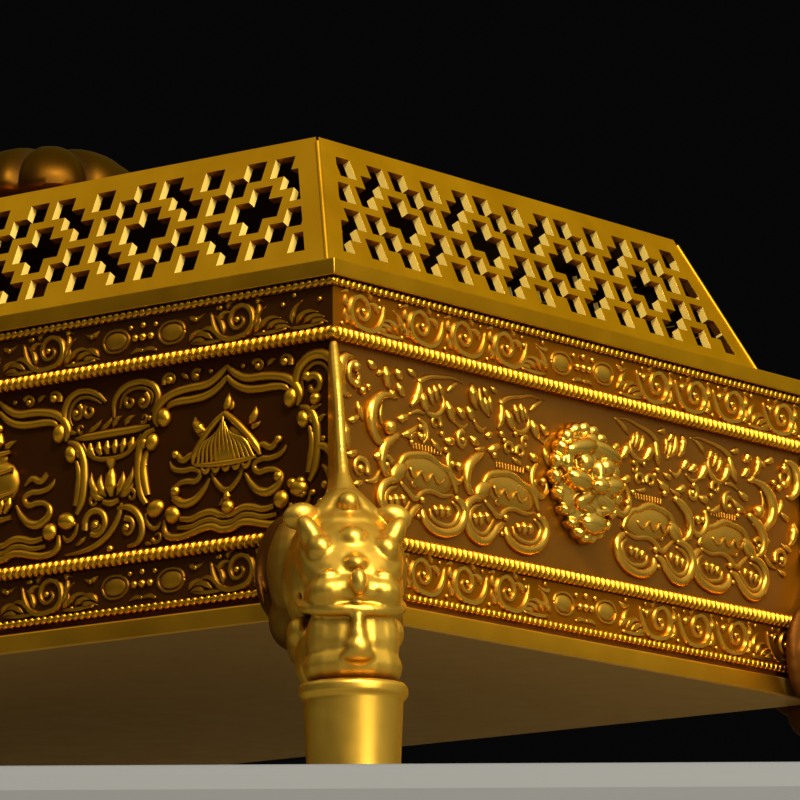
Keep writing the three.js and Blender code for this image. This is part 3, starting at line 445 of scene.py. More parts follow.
def vase_stand():
    """Footed dish with a lotus stem between two panels, drawn freely, so it isn't symmetrical."""
    strokes = [
        [(-.9, 7.6, .2), (-2.2, 8.7, .34), (-4.0, 9.35, .4), (-5.9, 9.1, .42), (-7.0, 8.0, .42),
         (-7.4, 6.4, .4), (-7.0, 5.0, .34), (-5.5, 4.4, .2)],
        [(-1.6, 7.5, .12), (-2.8, 8.2, .22), (-4.2, 8.6, .24), (-5.6, 8.3, .24), (-6.4, 7.3, .24),
         (-6.6, 6.2, .22), (-6.2, 5.4, .12)],
        [(.3, 5.6, .2), (.4, 7.4, .34), (1.6, 8.8, .4), (3.5, 9.4, .42), (5.75, 9.1, .42), (7.0, 8.0, .42),
         (7.1, 6.8, .38), (6.2, 5.6, .2)],
        [(1.2, 6.6, .12), (1.6, 7.7, .22), (2.6, 8.5, .24), (4.2, 8.7, .24), (5.6, 8.3, .24),
         (6.3, 7.4, .22), (6.0, 6.5, .12)],
        curl(-5.5, 6.85, .95, .3, 60, -330, .34, .2), curl(-3.5, 6.85, .85, .3, 120, 330, .34, .2),
        curl(4.8, 7.05, .95, .3, 60, -330, .34, .2), curl(2.8, 7.2, .75, .25, 120, 330, .3, .2),
        petal(-3.8, 4.3, -1.6, 5.7, -.3, .34), petal(-1.8, 4.3, .1, 5.9, -.3, .34),
        petal(.2, 4.3, 1.6, 5.7, .3, .34),
        petal(2.0, 4.3, 3.6, 5.5, .3, .34), curl(-4.8, 4.9, .6, .2, 300, -300, .26),
        curl(4.9, 5.0, .6, .2, 240, 300, .26),
        [(-5.6, 3.75, .2), (-3.8, 3.75, .44), (0, 3.8, .48), (3.8, 3.85, .44), (5.9, 4.0, .2)],
        [(-4.6, 3.1, .2), (-3.9, 2.0, .26), (-2.4, 1.1, .3), (0, .8, .3), (2.2, 1.1, .3), (3.8, 2.1, .26),
         (4.6, 3.2, .2)],
        [(0, .7, .7), (0, .1, .5), (0, -.4, .3)],
        petal(0, -3.7, 0, .0, 0, .72), petal(-.8, -3.6, -1.7, -.9, .4, .5),
        petal(.8, -3.6, 1.7, -.9, -.4, .5),
        petal(-1.4, -3.5, -3.2, -.5, .6, .46), petal(1.4, -3.5, 3.2, -.5, -.6, .46),
        petal(-1.2, -3.8, -3.4, -2.3, .4, .42), petal(1.2, -3.8, 3.4, -2.3, -.4, .42),
        curl(-2.7, -4.0, .7, .2, 90, 300, .3), curl(3.0, -3.9, .75, .2, 90, -300, .3),
        [(-1.2, -4.2, .3), (0, -4.5, .4), (1.2, -4.2, .3)],
        curl(-2.4, -6.7, 1.75, 1.3, 200, -320, .4, .34), curl(-2.4, -6.8, .8, .3, 0, -330, .3, .2),
        [(1.0, -5.2, .25), (2.8, -5.3, .4), (4.3, -6.5, .42), (4.8, -8.15, .42), (4.1, -9.6, .38),
         (2.6, -9.9, .25)],
        curl(2.4, -7.6, 1.15, .4, 100, -330, .36, .2),
        [(1.5, -4.6, .2), (1.2, -6.1, .34), (.1, -7.7, .38), (-1.75, -9.0, .38), (-4.25, -9.75, .34),
         (-7.2, -9.9, .15)],
        curl(7.0, -9.2, .75, .3, 200, 300, .3), petal(5.0, -9.7, 6.6, -9.9, -.1, .26),
        petal(-4.0, -8.0, -5.8, -8.9, .2, .3),
    ]
    for i in range(6):
        x = -3.3 + 1.32 * i
        strokes.append([(x, 2.95, .2, .1), (x * .95, 2.1, .42, .1), (x * .8, 1.35, .2, .1)])
    beads = [(-.1, -9.9, .45), (-5.5, 6.85, .4), (4.8, 7.05, .4), (-2.4, -6.8, .45), (2.4, -7.6, .45),
             (5.9, 4.9, .35), (-6.0, 2.6, .3), (6.2, 2.4, .3), (-5.8, -6.3, .3), (6.4, -6.6, .3),
             (-5.2, -.8, .3), (5.2, -.6, .3)]
    return chased(strokes, beads, weight=1.25)


def ribbons():
    """The pair of knotted silk ribbons that floats at each side of an emblem."""
    right = [
        [(2.6, -3.2, .2), (3.6, -4.6, .36), (5.2, -5.7, .5), (7.0, -5.6, .54), (8.0, -4.4, .4),
         (7.4, -3.5, .3), (6.0, -3.2, .34), (4.6, -3.3, .36), (4.0, -2.5, .34), (4.9, -1.9, .34),
         (6.6, -1.9, .34), (8.2, -1.4, .3), (8.7, -.6, .12)],
        [(4.0, -.9, .2), (5.2, -.2, .36), (6.6, -.7, .4), (7.6, .1, .34)],
    ]
    return right + mirrored(right)


def parasol():
    """Tent-shaped silk canopy, pleated, with a flame on top and swags and a tassel below."""
    canopy = []
    for i in range(13):
        s = (i - 6) / 6
        rise = 3.5 - 2.6 * abs(s) ** .8
        canopy.append([(s * 1.2, rise, .15, .9), (s * 2.9, .6 + (rise - .6) * .35, .2, .95),
                       (s * 4.2, -1.6, .2, .35)])
    edge = [[(0, 4.0, .3, .5), (s * 1.4, 3.0, .36, .6), (s * 3.0, 1.5, .38, .5), (s * 4.6, -.4, .4, .35),
             (s * 5.0, -1.4, .2, .2)]
            for s in (1, -1)]
    swags = [[(x, -1.7, .15, .3), (x + .75, -2.5, .3, .3), (x + 1.5, -1.7, .15, .3)]
             for x in (-3.75, -2.25, -.75, .75, 2.25)]
    more = [
        [(-4.6, -1.5, .2, .3), (-2.2, -1.75, .3, .4), (0, -1.8, .34, .45), (2.2, -1.75, .3, .4),
         (4.6, -1.5, .2, .3)],
        petal(-3.3, 2.3, -4.9, 4.2, .4, .6), petal(-3.0, 1.9, -4.7, 2.4, .2, .34),
        petal(3.2, 2.4, 4.2, 4.4, -.4, .5),
        petal(3.4, 2.0, 4.9, 2.6, -.2, .36), petal(-.3, 4.2, .2, 6.4, -.2, .5),
        petal(.4, 4.2, .7, 5.6, -.2, .32),
        curl(-1.7, -2.6, .55, .2, 0, 300, .28), curl(1.7, -2.6, .55, .2, 180, -300, .28),
        [(-2.4, -2.6, .2), (-1.5, -4.0, .32), (0, -4.9, .36), (1.5, -4.0, .32), (2.4, -2.6, .2)],
        [(0, -5.0, .3), (0, -5.7, .5), (.2, -6.4, .2)], petal(-.4, -5.6, -1.5, -6.6, .2, .28),
    ]
    domes = [(0, .3, 3.6, 2.6, .85, 0), (0, -.8, 4.2, 1.1, .6, 0)]
    return chased(ribbons() + canopy + edge + swags + more,
                  both([(7.7, .1, .48), (7.7, -4.2, .6)]) + [(.3, -6.9, .8)], domes, weight=1.25)


def jar():
    """Round covered jar with a lotus foot and three leaves out of its mouth."""
    bands = [
        [(-2.6, 1.2, .2, .75), (0, .8, .26, 1.0), (2.6, 1.2, .2, .75)],
        [(-2.4, -1.6, .2, .6), (0, -2.0, .26, .85), (2.4, -1.6, .2, .6)],
        [(-1.8, 3.4, .2, .3), (0, 3.2, .34, .5), (1.8, 3.4, .2, .3)],
        [(-1.9, -4.4, .3), (0, -4.6, .4), (1.9, -4.4, .3)],
        leaf(0, 3.9, 2.4, 90, 0, .6), leaf(.7, 3.6, 2.2, 50, -20, .4), leaf(-.7, 3.6, 2.2, 130, 20, .4),
    ]
    petals = [[(x * .6, -3.9, .2, .4), (x, -3.0, .4, .5), (x * 1.1, -2.2, .2, .5)]
              for x in (-1.8, -.7, .7, 1.8)]
    domes = [(0, -.3, 3.1, 2.9, 1.0, 0), (0, 2.7, 1.3, 1.0, .6, 0)]
    return chased(ribbons() + bands + petals, [(0, .0, .5), (0, 6.4, .5)], domes, weight=1.25)


def lotus_flower():
    """Open flower of seven petals on a knotted stalk."""
    petals = []
    for angle, length, width in ((90, 4.6, .95), (62, 4.4, .85), (118, 4.4, .85), (36, 4.2, .7),
                                 (144, 4.2, .7), (12, 3.8, .55), (168, 3.8, .55)):
        petals.append(leaf(0, -1.4, length, angle, (90 - angle) * .35, width))
    stalk = [[(0, -1.6, .5), (.3, -3.6, .35), (0, -5.9, .3)],
             [(-2.6, -1.9, .2), (0, -2.4, .42), (2.6, -1.9, .2)]]
    return chased(ribbons() + petals + stalk, both([(1.2, 3.6, .35)]) + [(0, 4.0, .5), (0, -6.3, .55)],
                  weight=1.25)


def knot():
    """Endless knot of three crossing bands with a loop on each side."""
    bands = []
    for shift in (-2.1, 0, 2.1):
        bands.append([(shift - 2.6, -2.6 + .4, .34), (shift, .2, .36), (shift + 2.6, 2.6 + .4, .34)])
        bands.append([(shift + 2.6, -2.6 + .4, .34), (shift, .2, .36), (shift - 2.6, 2.6 + .4, .34)])
    loops = [curl(x, y, 1.0, 1.0, start, 270, .32, .32)
             for x, y, start in ((4.2, .4, -135), (-4.2, .4, 45), (0, 4.3, -45), (0, -3.5, 135))]
    return chased(ribbons() + bands + loops, [(0, .4, .5), (0, 5.8, .5), (0, -5.2, .5)], weight=1.25)


def wheel():
    """Wheel of eight spokes that end in beads."""
    turns = [math.radians(45 * i) for i in range(8)]
    spokes = [[(0, .3, .3, .3), (1.5 * math.cos(a), .3 + 1.5 * math.sin(a), .34, .2),
               (4.3 * math.cos(a), .3 + 4.3 * math.sin(a), .2)] for a in turns]
    rims = [curl(0, .3, r, r, 0, 360, w, w) for r, w in ((3.4, .42), (1.4, .3))]
    tips = [(4.4 * math.cos(a), .3 + 4.4 * math.sin(a), .42) for a in turns]
    return chased(ribbons() + spokes + rims, tips + [(0, .3, .75), (0, -5.9, .5)], weight=1.25)


def corner_scroll():
    """Scroll that fills the end of a long wall beside the last panel."""
    strokes = [[(-2.2, 4.6, .3), (-2.5, 6.5, .46), (-1.6, 8.3, .56), (.5, 9.3, .62), (2.5, 8.7, .62),
                (3.4, 7.0, .6), (3.4, 5.0, .5), (2.8, 3.4, .25)],
               [(-1.6, 5.4, .15), (-1.5, 6.8, .26), (-.6, 7.9, .28), (.7, 8.3, .28), (2.0, 7.6, .26),
                (2.4, 6.4, .15)],
               curl(.1, 5.7, 1.3, .4, 130, -330, .46, .25), [(3.2, 1.8, .3), (3.5, .6, .5), (3.4, -.8, .3)],
               [(.2, -2.1, .25), (1.2, -1.4, .45), (2.4, -2.0, .5), (3.2, -3.4, .5), (3.6, -4.8, .3)],
               [(1.3, -3.6, .2), (2.0, -4.2, .36), (2.3, -5.4, .2)], petal(-.6, 2.6, 1.2, 3.4, .2, .4),
               petal(.6, 1.2, 2.0, 2.2, .2, .36),
               petal(-.4, .8, .8, -.4, .2, .34), curl(.3, -8.7, 1.3, .4, 60, -330, .4, .2)]
    return chased(strokes, [(.5, 4.1, .7), (-.8, 6.9, .55), (-3.0, -5.2, .6), (-1.7, -5.2, .6),
                            (-1.4, -6.6, .5), (1.8, -5.9, .5), (0, -6.6, .4), (.3, -8.7, .5),
                            (1.6, -.6, .4)], weight=1.25)


panel_frame, stand, corner_work = cartouche(), vase_stand(), corner_scroll()
emblems = [wheel(), knot(), lotus_flower(), jar(), parasol()]
# Painted shade: the long walls get a darker copy of the gilding with a near-black ground, and the ground
# darkens below the relief, partly as patina.
raised_shaded_front = gilt("raised_shaded_front", GOLD, (0.085, 0.024, 0.003), reach=1.7, rough=0.3,
                    ground=("out", -1.28, -0.75), dull=0.95)


def long_wall(side):
    """The plate of a long wall with its five panels, the stands between them and the end scrolls."""
    low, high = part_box(f"wall_{side}")
    thick = 2.2
    bm = bmesh.new()
    out = WIDTH / 2 - WALL_FACE - thick / 2
    middle = Vector((0, math.copysign(out, low.y) * MM, (low.z + high.z) / 2))
    block(bm, Matrix.Translation(middle), (162.2 * MM, thick * MM, high.z - low.z))
    plane = side_plane(side, WALL_FACE)
    for i, emblem in enumerate(emblems):
        x = (i - 2) * PANEL_PITCH
        lay(bm, panel_frame, plane, x, MIDDLE)
        lay(bm, emblem, plane, x, MIDDLE)
        if i < 4:
            lay(bm, stand, plane, x + PANEL_PITCH / 2, MIDDLE, -1 if i < 2 else 1)
    for sign in (1, -1):
        lay(bm, corner_work, plane, sign * 83.0, MIDDLE, sign)
    finished(bm, f"wall_{side}_chased", raised_shaded_front, "box", (f"wall_{side}",), smooth=50)


long_wall("front")
long_wall("back")


def palmette():
    """A shell-shaped palmette with a combed crest, on two volutes."""
    strokes = [
        [(-4.4, -3.9, .3), (-6.7, -4.5, .45), (-7.7, -6.0, .5), (-7.3, -7.5, .5), (-5.8, -8.8, .5),
         (-3.9, -8.9, .48), (-2.3, -7.9, .42), (-1.1, -6.7, .36), (0, -6.3, .2)],
        [(-4.4, -4.7, .15), (-6.0, -5.2, .26), (-6.8, -6.3, .3), (-6.4, -7.4, .3), (-5.2, -8.1, .3),
         (-3.9, -8.0, .28), (-2.7, -6.9, .22), (-2.0, -6.0, .15)],
        [(6.4, -4.4, .3), (7.8, -5.3, .45), (8.0, -6.6, .5), (7.0, -8.0, .5), (5.2, -8.8, .5),
         (3.0, -8.95, .5), (1.25, -8.4, .48), (.3, -7.5, .4), (.3, -6.6, .2)],
        [(5.8, -5.0, .15), (7.0, -5.9, .28), (6.7, -7.0, .3), (5.5, -7.9, .3), (3.6, -8.0, .3),
         (2.0, -7.4, .26), (1.6, -6.4, .15)],
        petal(-5.9, -5.8, -5.6, -7.3, .1, .4), petal(-4.8, -5.5, -4.5, -7.3, .1, .42),
        petal(-3.6, -5.4, -3.1, -6.8, .1, .36),
        petal(2.4, -5.9, 3.0, -7.2, .1, .36), petal(3.7, -5.6, 3.9, -7.3, .1, .42),
        petal(5.0, -5.6, 4.9, -7.1, .1, .4),
        [(-5.6, -3.6, .2), (-3.9, -1.9, .32), (-3.1, -1.0, .36), (-1.7, -.6, .38), (-.3, -.4, .38),
         (1.1, -.3, .38), (2.4, -.7, .38), (3.6, -1.2, .36), (4.9, -1.5, .34), (6.1, -2.7, .34),
         (6.7, -3.9, .25)],
        [(-3.9, -4.0, .2), (-2.4, -5.0, .28), (-1.2, -5.6, .32), (.2, -4.7, .28), (1.8, -4.3, .28),
         (4.0, -4.6, .24), (6.2, -4.2, .15)],
        [(-4.1, 1.4, .3), (-5.8, .6, .52), (-7.0, -.5, .56), (-7.4, -1.9, .5), (-7.0, -3.1, .4),
         (-5.8, -3.8, .2)],
        [(-2.6, -2.2, .12, .5), (-1.6, -3.2, .18, .5), (-.5, -2.4, .18, .55), (.6, -3.3, .18, .55),
         (1.7, -2.4, .18, .5), (2.8, -3.3, .18, .5), (4.2, -2.6, .12, .4)],
        curl(-1.2, -3.9, .5, .2, 90, 300, .2), curl(3.0, -3.9, .5, .2, 90, -300, .2),
        curl(1.0, -1.6, .5, .2, 200, 300, .2),
    ]
    for i in range(10):
        x = -1.3 + .56 * i
        strokes.append([(x, .1, .14), (x * 1.06 - .05, .95, .1)])
    domes = [(1.2, -2.5, 4.9, 2.2, .5, -6), (-4.2, -2.9, 1.8, 1.1, .62, 35)]
    domes += [(x, y, .75, .5, .5, 0)
              for x, y in ((-2.2, -.75), (-.6, -.45), (.8, -.3), (2.2, -.6), (3.8, -1.3))]
    beads = [(.1, -5.6, .4), (-.6, -7.6, .3), (-2.0, 1.6, .4), (4.6, .9, .35), (5.8, -.6, .4)]
    return chased(strokes, beads, domes, weight=1.4)


def side_branches():
    """Leafy scrolls over the palmettes, from the mask out to the corner, x out from the mask."""
    leaves = (
        (32.9, 5.1, 31.6, 8.1, .5, .55), (31.0, 7.2, 29.8, 5.2, .3, .6), (29.5, 7.9, 28.7, 6.2, .2, .42),
        (28.5, 8.3, 27.8, 6.7, .2, .42), (27.5, 8.6, 26.8, 7.4, .2, .36), (26.0, 7.8, 24.1, 9.0, -.2, .32),
        (26.2, 6.8, 24.8, 4.8, .3, .62), (24.1, 6.3, 22.8, 5.4, .2, .52), (21.3, 9.5, 20.5, 7.1, .4, .62),
        (19.1, 9.5, 18.3, 8.5, .2, .4), (18.8, 8.3, 18.1, 6.6, .2, .42), (17.7, 9.7, 16.4, 9.3, .1, .36),
        (22.2, 6.7, 21.1, 5.4, .2, .52), (17.8, 8.6, 17.5, 6.9, .2, .36), (16.3, 4.8, 15.9, 7.8, .4, .5),
        (14.7, 7.4, 13.2, 5.5, .3, .62), (13.0, 8.3, 12.2, 6.5, .2, .42), (11.8, 8.6, 11.2, 6.8, .2, .42),
        (11.1, 8.3, 10.4, 6.8, .2, .34), (10.0, 7.9, 7.6, 9.3, -.2, .32), (9.7, 6.9, 8.4, 5.1, .3, .58),
        (7.9, 6.6, 6.5, 5.7, .2, .48), (40.9, 9.3, 39.5, 8.7, .1, .5), (39.2, 7.9, 38.4, 8.6, .1, .38),
        (37.6, 9.2, 36.8, 6.9, .4, .58), (35.6, 9.2, 34.7, 8.2, .2, .55), (35.4, 7.5, 34.3, 6.3, .2, .48),
        (33.5, 9.4, 32.0, 9.0, .1, .42), (35.4, 3.3, 33.7, 4.0, .2, .48), (34.6, 1.5, 32.3, 2.8, .3, .48),
        (26.6, 2.1, 24.9, 2.3, .2, .52), (21.7, 3.2, 20.2, 2.6, .2, .52), (18.8, 3.7, 17.5, 4.1, .1, .42),
        (45.3, 1.6, 44.4, -1.0, .4, .7), (44.4, 1.8, 42.8, 2.6, .2, .42), (44.8, -2.1, 43.1, -1.5, .2, .42),
        (39.8, -1.7, 38.4, -1.1, .2, .52), (43.5, -5.4, 42.1, -4.9, .1, .38),
        (18.3, 2.0, 16.4, 3.0, .2, .55), (10.1, 2.8, 8.7, 2.3, .2, .52), (7.2, 3.9, 6.2, 2.0, .3, .42),
        (29.1, 1.8, 27.2, .9, .3, .4), (20.8, 1.8, 19.1, 2.3, .2, .36), (13.5, 1.8, 11.9, 1.4, .2, .34),
        (36.8, 6.5, 35.7, 5.8, .2, .4), (42.7, 4.3, 41.8, 2.5, .3, .4))
    longer = 0.25
    strokes = [petal(x0, y0, x1 + (x1 - x0) * longer, y1 + (y1 - y0) * longer, bow, width)
               for x0, y0, x1, y1, bow, width in leaves]
    strokes += [
        [(31.6, 8.1, .35), (29.7, 9.0, .3), (27.2, 9.4, .25), (24.7, 9.6, .2), (22.9, 9.3, .1)],
        [(30.4, 5.1, .15), (28.9, 4.6, .36), (27.5, 5.1, .38), (26.7, 6.3, .3), (27.1, 7.5, .15)],
        [(24.9, 4.6, .15), (23.2, 4.0, .28), (21.9, 4.7, .12)],
        [(19.9, 9.3, .2), (19.6, 7.5, .45), (17.9, 6.0, .15)],
        [(21.1, 5.3, .2), (19.8, 4.2, .32), (18.5, 4.7, .12)],
        [(15.9, 7.8, .35), (14.7, 8.7, .3), (12.2, 9.3, .25), (9.7, 9.8, .2), (7.1, 9.5, .1)],
        [(13.8, 5.6, .15), (12.6, 5.0, .34), (11.2, 5.3, .34), (10.3, 6.2, .3), (10.4, 7.4, .12)],
        [(8.4, 5.0, .15), (7.3, 4.5, .26), (6.4, 5.2, .12)],
        [(43.5, 9.3, .3), (45.2, 9.0, .6), (46.1, 7.5, .75), (46.0, 5.8, .7), (45.0, 4.8, .4),
         (43.9, 4.8, .2)],
        [(35.4, 5.7, .2), (37.2, 5.8, .4), (39.1, 5.1, .65), (40.4, 3.5, .8), (40.4, 1.9, .75),
         (39.6, .6, .55), (37.9, -.1, .4), (36.2, .4, .2)],
        [(38.2, 4.8, .15), (38.6, 3.3, .3), (38.3, 2.1, .15)],
        [(31.6, 3.9, .15), (30.3, 3.2, .34), (30.0, 1.9, .36), (30.7, 1.0, .15)],
        [(25.8, .7, .3), (26.1, -.7, .45), (25.4, -2.1, .45), (24.1, -2.6, .4), (23.1, -1.8, .2)],
        [(8.8, 1.7, .3), (9.6, .7, .35), (9.8, -.7, .42), (9.2, -1.7, .45), (8.1, -2.1, .45),
         (7.0, -1.4, .4), (6.9, -.2, .2)],
        [(41.3, -4.8, .15), (39.7, -4.4, .36), (38.7, -3.2, .2)],
        [(33.3, 4.1, .15), (31.6, 4.7, .28), (30.3, 4.6, .2)],
        curl(43.2, 7.2, 1.5, .5, 100, -330, .48, .25), curl(31.0, 2.1, .9, .3, 60, 330, .36, .2),
        curl(28.3, 3.8, 1.0, .3, 200, -330, .34, .2), curl(23.2, 2.5, 1.1, .35, 90, -330, .42, .2),
        curl(14.4, 2.7, .95, .3, 200, -330, .36, .2), curl(12.0, 2.6, .9, .3, 340, 330, .34, .2),
        curl(11.1, 3.9, .8, .25, 120, -300, .32, .18), curl(37.5, -2.4, 1.1, .35, 160, -330, .38, .2),
        curl(42.4, -3.5, 1.5, .5, 200, -330, .42, .22)]
    beads = [(43.2, 8.2, .6), (43.1, 6.2, .55), (42.0, 5.6, .5), (37.2, 2.0, .85), (24.1, -.7, .55),
             (7.7, -.3, .5), (31.1, 1.8, .4), (15.8, 4.3, .4), (15.2, 3.6, .35), (20.8, .9, .35),
             (42.4, -3.5, .5), (27.2, 2.7, .35), (13.0, 4.7, .35), (40.9, 6.2, .4), (32.9, .9, .35),
             (23.2, 2.5, .4), (37.5, -2.4, .4)]
    return chased(strokes, beads, weight=1.2)


palmettes, branches = palmette(), side_branches()
# Painted light: the short walls get a brighter copy of the same gilding, with a golden ground.
raised_lit_side = gilt("raised_lit_side", (0.9, 0.48, 0.04), (0.31, 0.115, 0.003), reach=0.9, rough=0.28,
                   ground=("out", -1.28, -0.9), coat=0.2, dull=0.97)


def short_wall(side):
    """The plate of a short wall with two palmettes and the branches over them on each half."""
    bm = cad_copy(f"wall_{side}")
    plane = side_plane(side, WALL_FACE)
    for sign in (1, -1):
        lay(bm, branches, plane, 0, MIDDLE, sign)
        for x in (15.2, 31.1):
            lay(bm, palmettes, plane, sign * x, MIDDLE, -sign)
    finished(bm, f"wall_{side}_chased", raised_lit_side, "box", (f"wall_{side}",), smooth=50)


short_wall("right")
short_wall("left")

# Corner posts
# Four square posts that the walls are soldered to, finished as the walls beside them, in their
# painted-light and painted-shade copies of the gilding. A flat on the inner edge takes the head of the
# screw that holds the leg.
POST = 4.6
POST_FLAT = 1.06
for corner, sx, sy in (("front_right", 1, -1), ("back_right", 1, 1), ("back_left", -1, 1),
                       ("front_left", -1, -1)):
    low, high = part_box(f"corner_post_{corner}")
    outer = Vector((sx * (LENGTH / 2 - WALL_FACE), sy * (WIDTH / 2 - WALL_FACE), 0)) * MM
    inner = outer - Vector((sx * POST, sy * POST, 0)) * MM
    middle = (outer + inner) / 2 + Vector((0, 0, (low.z + high.z) / 2))
    bm = bmesh.new()
    block(bm, Matrix.Translation(middle), (POST * MM, POST * MM, high.z - low.z))
    cut = bmesh.ops.bisect_plane(bm, geom=bm.verts[:] + bm.edges[:] + bm.faces[:], clear_inner=True,
                                 plane_co=inner + Vector((sx, sy, 0)) * POST_FLAT * MM,
                                 plane_no=(sx, sy, 0))
    bmesh.ops.edgeloop_fill(bm, edges=[e for e in cut["geom_cut"] if isinstance(e, bmesh.types.BMEdge)])
    bmesh.ops.recalc_face_normals(bm, faces=bm.faces)
    obj = finished(bm, f"corner_post_{corner}_filed", raised_shaded_front, "box",
                   (f"corner_post_{corner}",))
    obj.data.materials.append(raised_lit_side)
    # Faces along x take the painted-light copy, the others the painted-shade copy.
    for face in obj.data.polygons:
        face.material_index = int(abs(face.normal.x) > 0.7)

# Rope mouldings
# Gilt wire twisted in pairs and soldered round the box: two heavy ropes edge the panels, and two
# thin ones edge the friezes above and below. Each turn of the twist is one bright rib.
ROPE_CENTRE = 0.45
# The hollow mask paints the rope brown between its ribs, partly as patina and partly as painted shade.
rope_gilt = gilt("rope_gilt", GOLD, (0.12, 0.035, 0.004), reach=0.7, rough=0.25, dull=0.9)


def rope(node, height, tall, proud, lean):
    """A rope round the box, of half height tall and half thickness proud. Its ribs lean a little and
    are barrel-shaped, so that each catches the light as an upright streak."""
    rib = bmesh.new()
    ball(rib, turned(90, "X"), 8, 6)
    for vert in rib.verts:
        x, up, out = vert.co
        full = math.sqrt(1 + up * up)
        vert.co = (0.42 * x * full + lean * up * tall, up * tall, out * full * proud)
    one = as_mesh(rib, "rib")
    bm = bmesh.new()
    for side in ("front", "right", "back", "left"):
        half = (LENGTH if side in ("front", "back") else WIDTH) / 2 - ROPE_CENTRE
        plane = side_plane(side, ROPE_CENTRE)
        count = round(2 * half)
        for i in range(count):
            x = -half + 2 * half * (i + 0.5) / count
            lay(bm, one, plane, x, height)
        rod(bm, plane @ Matrix.Translation((0, height, 0)) @ turned(90, "Y"), tall * 0.62, 2 * half, 10)
        ball(bm, plane @ Matrix.Translation((half, height, 0)) @ Matrix.Scale(proud, 4), 12)
    finished(bm, f"{node}_twisted", rope_gilt, "box", (node,), smooth=60)


rope("foot_rope", 39.6, 0.48, 0.42, 0.3)
rope("lower_rope", 45.7, 0.84, 0.76, 0.15)
rope("upper_rope", 68.4, 0.84, 0.76, 0.15)
rope("rim_rope", 74.4, 0.5, 0.42, 0.3)

# Friezes
# Narrow strips between the ropes, chased with running scrolls, leaf sprays and pairs of cloud
# plaques with beads between them.
FRIEZE_FACE = 0.8
FRIEZE_HEIGHT = 4.6


def frieze_pair():
    """Two oval plaques with beads between them and leaves at their ends."""
    outline = curl(4.3, 0, 1, 1, 0, 360, 1, 1)
    strokes = [[(4.3 + (x - 4.3) * 2.0, y * 1.3, .17) for x, y, _ in outline],
               leaf(6.9, -1.5, 2.8, 60, -40, .34), leaf(6.9, 1.6, 2.4, -50, 50, .3),
               [(0, -1.6, .2), (1.0, -1.5, .28), (2.0, -1.8, .15)]]
    domes = both([(4.3, 0, 1.75, 1.1, .34, 0)])
    beads = both([(1.2, 0, .42), (1.9, 1.3, .3)]) + [(0, 0, .46), (0, 1.4, .36)]
    return chased(strokes + mirrored(strokes), beads, domes, sides=1, weight=1.3)


def frieze_scroll():
    """One wave of the running scroll, with its leaves."""
    strokes = [
        [(-4.3, 1.5, .15), (-3.6, -.6, .3), (-2.4, -1.75, .34), (-.2, -1.95, .36), (1.6, -1.2, .36),
         (2.0, .3, .34), (1.2, 1.5, .32), (-.2, 1.7, .3), (-1.2, .8, .28), (-1.1, -.4, .26),
         (-.1, -.8, .24), (.6, -.1, .2), (.2, .5, .15)],
        leaf(2.0, -1.6, 2.0, 10, 50, .34), leaf(2.6, .2, 1.8, 50, 40, .32),
        leaf(-2.9, .2, 2.0, 100, -70, .34),
        leaf(-1.7, 1.5, 1.5, 100, -60, .28), leaf(2.4, 1.8, 1.2, 60, -60, .26)]
    return chased(strokes, [(-.3, .2, .34), (3.6, -1.8, .26), (-3.2, 1.9, .24)], sides=1, weight=1.3)


def frieze_spray():
    """Fan of four leaves on a bent stem."""
    strokes = [leaf(-1.6, -1.6, 3.4, 70, -50, .36), leaf(-.6, -1.7, 3.2, 50, -40, .36),
               leaf(.4, -1.8, 2.6, 30, -30, .34),
               leaf(-2.2, -1.4, 3.0, 100, -40, .32), [(-2.4, -1.9, .2), (0, -2.0, .3), (2.4, -1.8, .15)]]
    return chased(strokes, [(-1.8, 1.9, .28), (1.9, 1.0, .28)], sides=1, weight=1.3)


pair, scroll, spray = frieze_pair(), frieze_scroll(), frieze_spray()
# Painted light and shade: the long sides get a dark-ground shaded copy of the gilding, and the short sides
# a golden lit copy.
frieze_shaded_front = gilt("frieze_shaded_front", GOLD, (0.10, 0.03, 0.004), reach=1.2, rough=0.3,
                    ground=("out", -0.79, -0.4), dull=0.95)
frieze_lit_side = gilt("frieze_lit_side", (0.9, 0.5, 0.05), (0.36, 0.12, 0.003), reach=0.8, rough=0.28,
                   ground=("out", -0.79, -0.5), dull=0.97)


def frieze(node, middle, height):
    """The solid's band with the ornament laid on all four sides, centred on middle."""
    bm = cad_copy(node)
    for side in ("front", "right", "back", "left"):
        plane = (side_plane(side, FRIEZE_FACE) @ Matrix.Translation((0, middle, 0))
                 @ Matrix.Scale(height / FRIEZE_HEIGHT, 4, (0, 1, 0)))
        if side in ("front", "back"):
            laid = [(pair, x, 1) for x in (-58, -29, 0, 29, 58)]
            for x in (-72.5, -43.5, -14.5, 14.5, 43.5, 72.5):
                laid += [(scroll, x, 1 if x > 0 else -1), (spray, x + 4.6, 1), (spray, x - 4.6, -1)]
            laid += [(spray, s * 82.5, s) for s in (1, -1)]
        else:
            laid = [(pair, 0, 1)]
            for s in (1, -1):
                laid += [(spray, s * 9.9, s), (scroll, s * 15.4, s), (scroll, s * 23.5, s),
                         (scroll, s * 31.6, s), (spray, s * 37.4, s), (scroll, s * 42.6, s)]
        for mesh, x, sign in laid:
            lay(bm, mesh, plane, x, 0, sign)
    obj = finished(bm, f"{node}_chased", frieze_shaded_front, "box", (node,), smooth=50)
    obj.data.materials.append(frieze_lit_side)
    # Faces past the ends take the painted-light copy, and the rest the painted-shade copy.
    for face in obj.data.polygons:
        past_end, past_side = abs(face.center.x) - LENGTH / 2 * MM, abs(face.center.y) - WIDTH / 2 * MM
        face.material_index = int(past_end > past_side)


frieze("lower_frieze", 42.5, 4.7)
frieze("upper_frieze", 71.56, 4.6)

